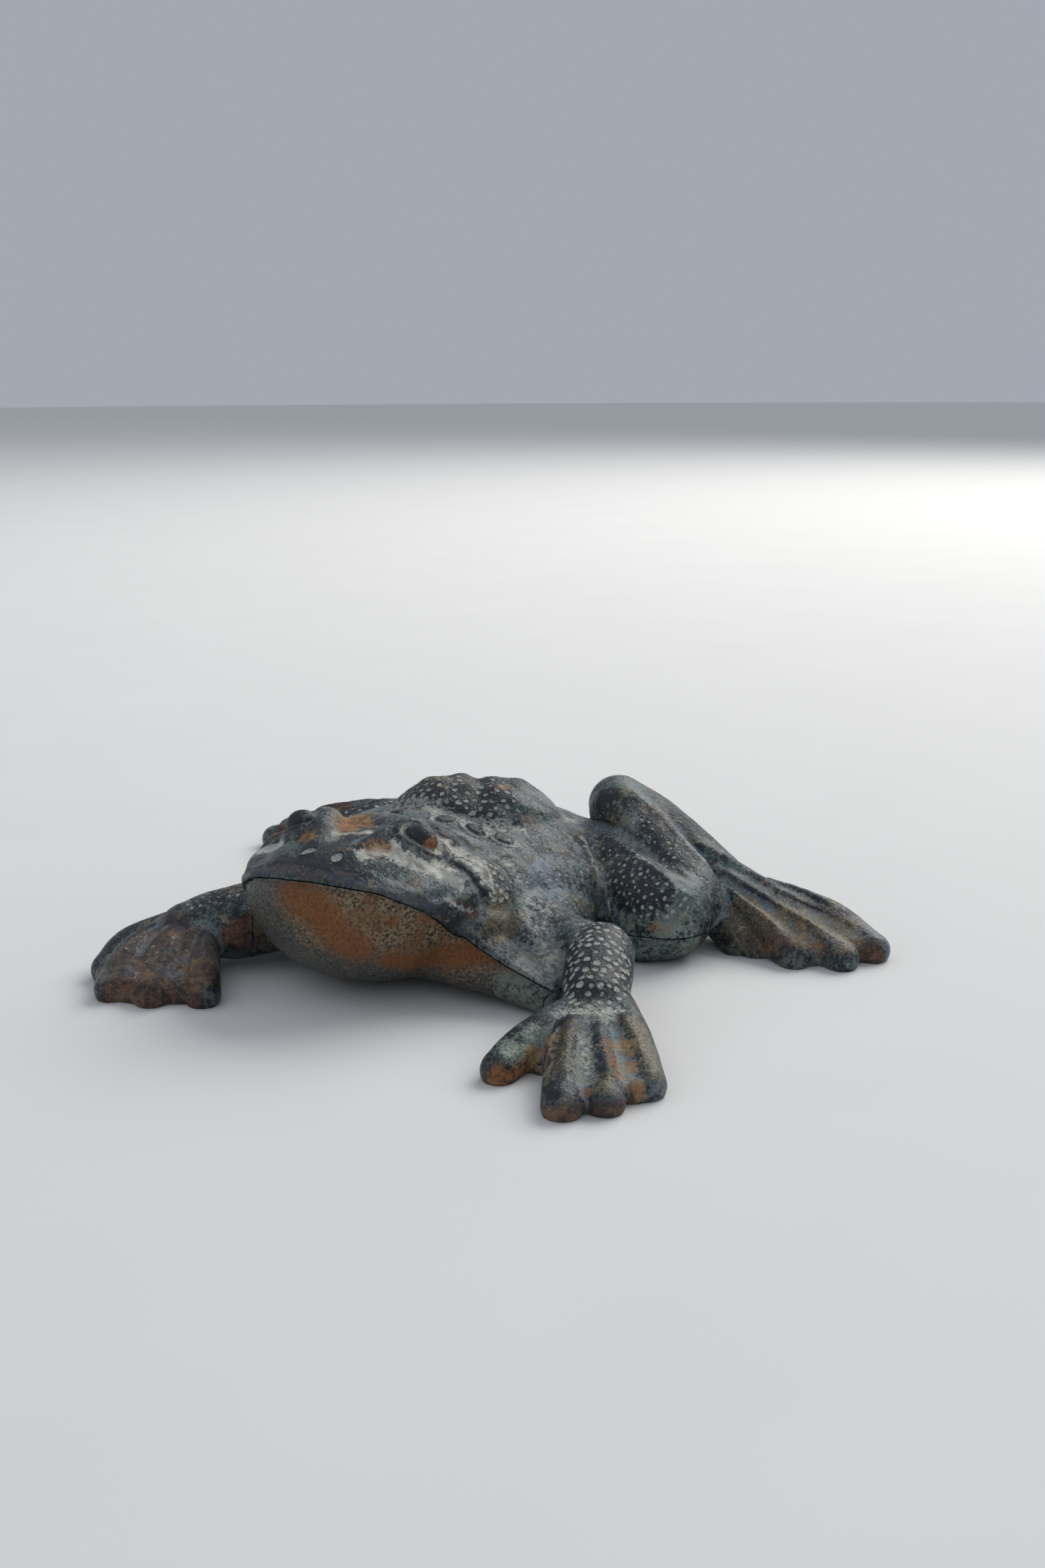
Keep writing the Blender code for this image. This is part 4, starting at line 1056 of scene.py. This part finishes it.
# ---------------------------------------------------------------- materials
class Paintbox:
    """Short names for the nodes of one material."""

    def __init__(self, name):
        self.material = bpy.data.materials.new(name)
        self.material.use_nodes = True
        self.tree = self.material.node_tree
        self.shader = self.tree.nodes["Principled BSDF"]
        self.places = self.node("ShaderNodeTexCoord").outputs["Object"]
        self.fields = {}

    def node(self, kind, inputs=(), **settings):
        made = self.tree.nodes.new(kind)
        for key, value in settings.items():
            setattr(made, key, value)
        for key, value in dict(inputs).items():
            if isinstance(value, bpy.types.NodeSocket):
                self.tree.links.new(value, made.inputs[key])
            else:
                made.inputs[key].default_value = value
        return made

    def feed(self, socket, value):
        self.tree.links.new(value, self.shader.inputs[socket])

    def bump(self, height, strength, distance):
        made = self.node("ShaderNodeBump", {"Height": height, "Strength": strength, "Distance": distance})
        self.feed("Normal", made.outputs["Normal"])

    def noise(self, size, detail=3, rough=0.55, distortion=0.0):
        """Noise whose lumps are about size mm."""
        settings = {"Vector": self.places, "Scale": 1 / (size * MM), "Detail": detail,
                    "Roughness": rough, "Distortion": distortion}
        return self.node("ShaderNodeTexNoise", settings).outputs["Fac"]

    def math(self, operation, a, b=0.5, clamp=False):
        made = self.node("ShaderNodeMath", {0: a, 1: b}, operation=operation)
        made.use_clamp = clamp
        return made.outputs[0]

    def tone(self, name):
        if name not in self.fields:
            self.fields[name] = self.node("ShaderNodeAttribute", attribute_name=name).outputs["Fac"]
        return self.fields[name]

    def rise(self, value, low, high, top=1.0):
        """0 below low, top above high, smooth between."""
        settings = {"Value": value, "From Min": low, "From Max": high, "To Max": top}
        made = self.node("ShaderNodeMapRange", settings, interpolation_type="SMOOTHSTEP")
        return made.outputs["Result"]

    def torn(self, tone, ragged, low, high, *fields):
        """A painted tone with its edge broken up by noise fields."""
        value = self.tone(tone) if isinstance(tone, str) else tone
        for field in fields:
            tear = self.math("MULTIPLY", self.math("SUBTRACT", field, 0.5), ragged)
            value = self.math("ADD", value, tear)
        return self.rise(value, low, high)

    def mix(self, share, a, b):
        made = self.node("ShaderNodeMix", data_type="RGBA")
        for key, value in ((0, share), (6, a), (7, b)):
            if isinstance(value, bpy.types.NodeSocket):
                self.tree.links.new(value, made.inputs[key])
            else:
                made.inputs[key].default_value = value if key == 0 else (*value, 1)
        return made.outputs[2]

    def between(self, field, low, high, a, b, top=1.0):
        """Colour a where the field is below low, and b, as strong as top, where it is above high."""
        return self.mix(self.rise(field, low, high, top), a, b)

    def coat(self, colour, mask, share, tint):
        """A coat of tint over the colour, covering no more than the share of it."""
        return self.mix(self.math("MULTIPLY", mask, share), colour, tint)


IRON_BLACK = (0.015, 0.020, 0.027)
IRON_SLATE = (0.115, 0.142, 0.158)
# bluish sky sheen, painted into the colour of the upward-facing tops
SHEEN_BLUE = (0.12, 0.175, 0.225)
IRON_TEAL = (0.068, 0.115, 0.106)
IRON_UMBER = (0.105, 0.090, 0.068)
DUST_GREY = (0.30, 0.305, 0.28)
DUST_BLUE = (0.19, 0.25, 0.295)
DUST_CREAM = (0.66, 0.65, 0.58)
DUST_THIN = (0.065, 0.078, 0.078)
WORN_DARK, WORN_PALE = (0.17, 0.20, 0.215), (0.36, 0.38, 0.37)
VERDIGRIS, VERDIGRIS_PALE = (0.14, 0.20, 0.155), (0.23, 0.29, 0.25)
OLIVE, OLIVE_DARK = (0.19, 0.15, 0.075), (0.085, 0.066, 0.038)
EARTH_BLACK, EARTH_OCHRE = (0.040, 0.024, 0.018), (0.20, 0.125, 0.06)
LIP_BLUE, LIP_BROWN = (0.030, 0.044, 0.068), (0.085, 0.064, 0.05)
RUST_DARK = (0.070, 0.028, 0.016)
RUST_ORANGE = (0.34, 0.135, 0.040)
RUST_OCHRE = (0.36, 0.24, 0.11)
RUST_BROWN = (0.155, 0.072, 0.044)
SAND_DARK, SAND_GREY = (0.030, 0.031, 0.027), (0.135, 0.142, 0.125)
SAND_TAN, SAND_GRIT = (0.085, 0.070, 0.046), (0.22, 0.225, 0.20)
OCHRE_DARK, OCHRE_PALE = (0.034, 0.019, 0.009), (0.31, 0.235, 0.130)
OCHRE_RUST = (0.17, 0.072, 0.022)
THROAT_ORANGE, THROAT_BROWN = (0.225, 0.082, 0.022), (0.085, 0.034, 0.012)
DOT_GREY, DOT_PALE = (0.22, 0.24, 0.215), (0.50, 0.51, 0.46)
STEEL_GREY, STEEL_RUST = (0.20, 0.19, 0.18), (0.30, 0.14, 0.05)
CLOTH_SHADE, CLOTH_PALE = (0.80, 0.795, 0.78), (0.84, 0.835, 0.82)


def iron(name, throat):
    """Patinated cast iron, with painted shade behind the head and a painted bluish sheen on the tops. The
    throat never had the dark finish, and has rusted through.
    """
    box = Paintbox(name)
    fine, grain, grit = box.noise(0.35, 2), box.noise(0.6, 3, 0.65), box.noise(1.3, 4, 0.62)
    cloud, broad = box.noise(4.5, 4, 0.6, 0.4), box.noise(14, 3)

    # Bare iron: black where it is handled and where shade is painted behind the head, slate, teal or umber
    # where the old finish dulled
    dull = box.between(box.noise(8, 4), 0.44, 0.58, IRON_SLATE, IRON_TEAL)
    dull = box.between(box.noise(6, 5), 0.54, 0.66, dull, IRON_UMBER)
    shade = box.math("SUBTRACT", cloud, box.math("MULTIPLY", box.tone("dark"), 0.34))
    colour = box.mix(box.torn(shade, 0.9, 0.36, 0.60, grit, broad, grain), IRON_BLACK, dull)
    # Painted highlight: a bluish sky sheen laid as colour on the upward-facing tops
    colour = box.mix(box.torn("painted_sheen", 1.6, 0.25, 1.0, cloud, grit), colour, SHEEN_BLUE)

    # A film of dust in every hollow
    film = box.tone("cavity")
    for field, share in ((grain, 1.5), (grit, 1.6), (broad, 1.2)):
        film = box.math("ADD", film, box.math("MULTIPLY", box.math("SUBTRACT", field, 0.5), share))
    film = box.math("MULTIPLY", box.rise(film, 0.0, 0.95, 0.85), box.rise(box.tone("dark"), 1.2, 0.2))
    film_colour = box.between(cloud, 0.42, 0.6, DUST_BLUE, DUST_GREY)
    colour = box.mix(film, colour, box.between(grain, 0.56, 0.38, film_colour, DUST_THIN, 0.6))

    if throat:
        sand = box.between(grain, 0.38, 0.64, SAND_DARK, SAND_GREY)
        sand = box.between(cloud, 0.45, 0.7, sand, SAND_TAN, 0.8)
        sand = box.between(fine, 0.56, 0.7, sand, SAND_GRIT, 0.5)
        colour = box.mix(box.tone("throat"), colour, sand)

    # Worn grey, verdigris, olive and brown earth, each in its painted zones
    worn = box.torn("soft", 1.2, 0.2, 0.9, grain, grit, cloud)
    colour = box.coat(colour, worn, 0.62, box.between(grit, 0.38, 0.62, WORN_DARK, WORN_PALE))
    green = box.torn("green", 1.8, 0.25, 0.9, grit, cloud, grain)
    colour = box.coat(colour, green, 0.8, box.between(grit, 0.4, 0.62, VERDIGRIS, VERDIGRIS_PALE))
    olive = box.torn("olive", 1.6, 0.2, 0.95, grit, cloud, grain)
    colour = box.coat(colour, olive, 0.75, box.between(grain, 0.42, 0.6, OLIVE_DARK, OLIVE))
    brown = box.torn("brown", 1.6, 0.1, 0.9, grit, cloud, grain)
    brown = box.math("MULTIPLY", brown, box.rise(box.tone("dark"), 1.2, 0.1))
    earth = box.between(grit, 0.42, 0.56, RUST_BROWN, EARTH_BLACK)
    colour = box.coat(colour, brown, 0.9, box.between(cloud, 0.5, 0.68, earth, EARTH_OCHRE, 0.7))
    lip = box.torn("lip", 0.9, 0.25, 0.95, grain)
    colour = box.coat(colour, lip, 0.88, box.between(box.noise(3.0, 2), 0.42, 0.6, LIP_BLUE, LIP_BROWN))
    dust = box.torn("dust", 2.0, 0.35, 0.95, grit, grain)
    colour = box.mix(dust, colour, box.between(cloud, 0.4, 0.65, DUST_GREY, DUST_CREAM))

    if throat:
        ochre = box.between(grain, 0.38, 0.58, OCHRE_DARK, OCHRE_PALE)
        ochre = box.between(box.noise(7, 3), 0.50, 0.64, ochre, OCHRE_RUST, 0.6)
        colour = box.coat(colour, box.torn("ochre", 0.9, 0.1, 1.0, grit, grain), 0.9, ochre)
        rust = box.torn("rust", 0.7, 0.0, 1.0, grit, grain)
        rust_colour = box.between(grain, 0.56, 0.34, THROAT_ORANGE, THROAT_BROWN, 0.6)
    else:
        rust = box.torn("rust", 1.4, 0.15, 1.0, grit, cloud, grain)
        rust_colour = box.between(cloud, 0.40, 0.66, RUST_ORANGE, RUST_OCHRE)
        rust_colour = box.between(grit, 0.56, 0.34, rust_colour, RUST_DARK, 0.75)
    colour = box.coat(colour, rust, 0.92, rust_colour)

    # Lime in the dimples, and pinprick specks of it
    dots = box.torn("dots", 0.2, 0.36, 0.62, fine)
    colour = box.mix(dots, colour, box.between(grain, 0.36, 0.6, DOT_GREY, DOT_PALE))
    speck = box.math("MULTIPLY", box.rise(box.noise(0.55, 1), 0.68, 0.75), box.rise(cloud, 0.42, 0.6))
    colour = box.coat(colour, speck, 0.12 if throat else 0.45, DUST_CREAM)
    box.feed("Base Color", colour)

    matt = box.math("MAXIMUM", box.math("MAXIMUM", dust, rust), box.math("MAXIMUM", dots, brown))
    matt = box.math("MAXIMUM", matt, box.math("MULTIPLY", film, 0.8))
    rough = box.math("ADD", box.rise(matt, 0, 1, 0.40), box.math("MULTIPLY", grit, 0.3))
    box.feed("Roughness", box.math("ADD", rough, 0.25, clamp=True))
    box.feed("Metallic", box.rise(matt, 0.5, 0.0, 0.25))
    height = box.math("ADD", grain, box.math("MULTIPLY", grit, 1.6))
    height = box.math("ADD", box.math("MULTIPLY", fine, 0.5), height)
    box.bump(height, 0.7, 0.0005 if throat else 0.0003)
    return box.material


def steel(name):
    """Old screw steel with rust in its grain."""
    box = Paintbox(name)
    grit, cloud = box.noise(0.5, 3), box.noise(1.6, 3)
    colour = box.between(cloud, 0.4, 0.62, STEEL_GREY, RUST_BROWN)
    box.feed("Base Color", box.between(grit, 0.55, 0.7, colour, STEEL_RUST))
    box.feed("Roughness", box.rise(cloud, 0.35, 0.65, 0.8))
    box.feed("Metallic", box.rise(cloud, 0.62, 0.4, 0.9))
    box.bump(grit, 0.4, 0.0001)
    return box.material


def cloth(name):
    box = Paintbox(name)
    box.feed("Base Color", box.mix(box.noise(60, 2), CLOTH_SHADE, CLOTH_PALE))
    box.shader.inputs["Roughness"].default_value = 0.95
    box.shader.inputs["Specular IOR Level"].default_value = 0.1
    return box.material


# ---------------------------------------------------------------- build
low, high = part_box("front_screw")
ORIGIN = Vector(((low[0] + high[0]) / 2, (low[1] + high[1]) / 2 - BOSS_Y["front_screw"] * MM, 0))

DETAIL_REACH, DETAIL_MARGIN = 4.2, 0.8
CRACK_REACH = 1.0
skin = Skin(*body_form())
detail = np.zeros(len(skin.at), bool)
lines = [p for p, *rest in DIMPLES] + both(LIP_MIDDLE) + both(BROW_RIDGE) + both(LIP_TOP)
lines += [[p] for p, *rest in WARTS + NOSTRILS] + both([EYE[0]]) + both([TYMPANUM[0]]) + [[BLISTER]]
for points in lines:
    reach = max([p[3] if len(p) > 3 else DETAIL_REACH for p in points]) + DETAIL_MARGIN
    detail[skin.near(points, reach)[0]] = True
detail |= (np.abs(parting_gap(skin.at)) < CRACK_REACH) & (in_plan(skin.at, CRACK_REACH) > 0)
skin.refine(detail)
chase(skin)
tint(skin)

form = to_mesh("form", skin.at, skin.corners)
for tone, values in skin.tone.items():
    attribute = form.attributes.new(tone, "FLOAT", "POINT")
    attribute.data.foreach_set("value", np.ascontiguousarray(values, np.float32))
upper = casting("upper_shell", form.copy(), (parting_block(GAP), "DIFFERENCE"))
lower = casting("lower_shell", form, (parting_block(0), "INTERSECT"),
                cylinders("pocket", POCKET_RADIUS, CUT_LOW, POCKET_DEPTH))

for piece, node, slot, throat in ((upper, "upper_casting", "patinated_iron", False),
                                  (lower, "lower_casting", "rusty_iron", True)):
    piece.data.materials.clear()
    piece.data.materials.append(iron(slot + "_look", throat))
    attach(piece, "root")
    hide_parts(node)
screw_finish = steel("screw_steel_look")
for name in ("front_screw", "rear_screw"):
    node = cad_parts[name]
    node.data.materials.clear()
    node.data.materials.append(screw_finish)

# ---------------------------------------------------------------- stage
FLOOR_RADIUS = 6
SKY_COLOUR, SKY_STRENGTH = (0.83, 0.895, 1.0, 1), 0.44
shape = bmesh.new()
bmesh.ops.create_circle(shape, cap_ends=True, segments=96, radius=FLOOR_RADIUS)
floor_mesh = bpy.data.meshes.new("floor")
shape.to_mesh(floor_mesh)
shape.free()
floor = link("floor", floor_mesh)
floor.data.materials.append(cloth("pale_floor"))

world = bpy.data.worlds.new("studio")
bpy.context.scene.world = world
world.use_nodes = True
sky = world.node_tree.nodes["Background"]
sky.inputs["Color"].default_value = SKY_COLOUR
sky.inputs["Strength"].default_value = SKY_STRENGTH


def soft_light(name, place, size, power, colour):
    """A soft rectangle of light, facing the frog."""
    data = bpy.data.lights.new(name, "AREA")
    data.shape = "RECTANGLE"
    data.size, data.size_y = size
    data.energy = power
    data.color = colour
    made = link(name, data)
    made.location = place
    made.rotation_euler = (-Vector(place)).to_track_quat("-Z", "Y").to_euler()
    made.visible_camera = False
    return made


soft_light("window", place=(0.5, 1.5, 1.3), size=(1.9, 1.3), power=32, colour=(1.0, 0.965, 0.915))
soft_light("fill", place=(-1.4, -0.6, 1.5), size=(1.6, 1.6), power=3, colour=(0.9, 0.95, 1.0))

CAMERA_AT = (182.19, -300.55, 126.0)
CAMERA_TURN = math.radians(26.0)
CAMERA_TILT = math.radians(13.5)
CAMERA_ROLL = math.radians(-0.3)
SENSOR, LENS = 36, 39.85
view = bpy.data.cameras.new("camera")
view.sensor_width = SENSOR
view.lens = LENS
view.clip_start = 0.01
camera = link("camera", view)
turn = (Matrix.Rotation(CAMERA_TURN, 4, "Z") @ Matrix.Rotation(math.pi / 2 - CAMERA_TILT, 4, "X")
        @ Matrix.Rotation(CAMERA_ROLL, 4, "Z"))
camera.matrix_world = Matrix.Translation(ORIGIN + Vector(CAMERA_AT) * MM) @ turn
bpy.context.scene.camera = camera
bpy.context.scene.view_settings.view_transform = "Standard"
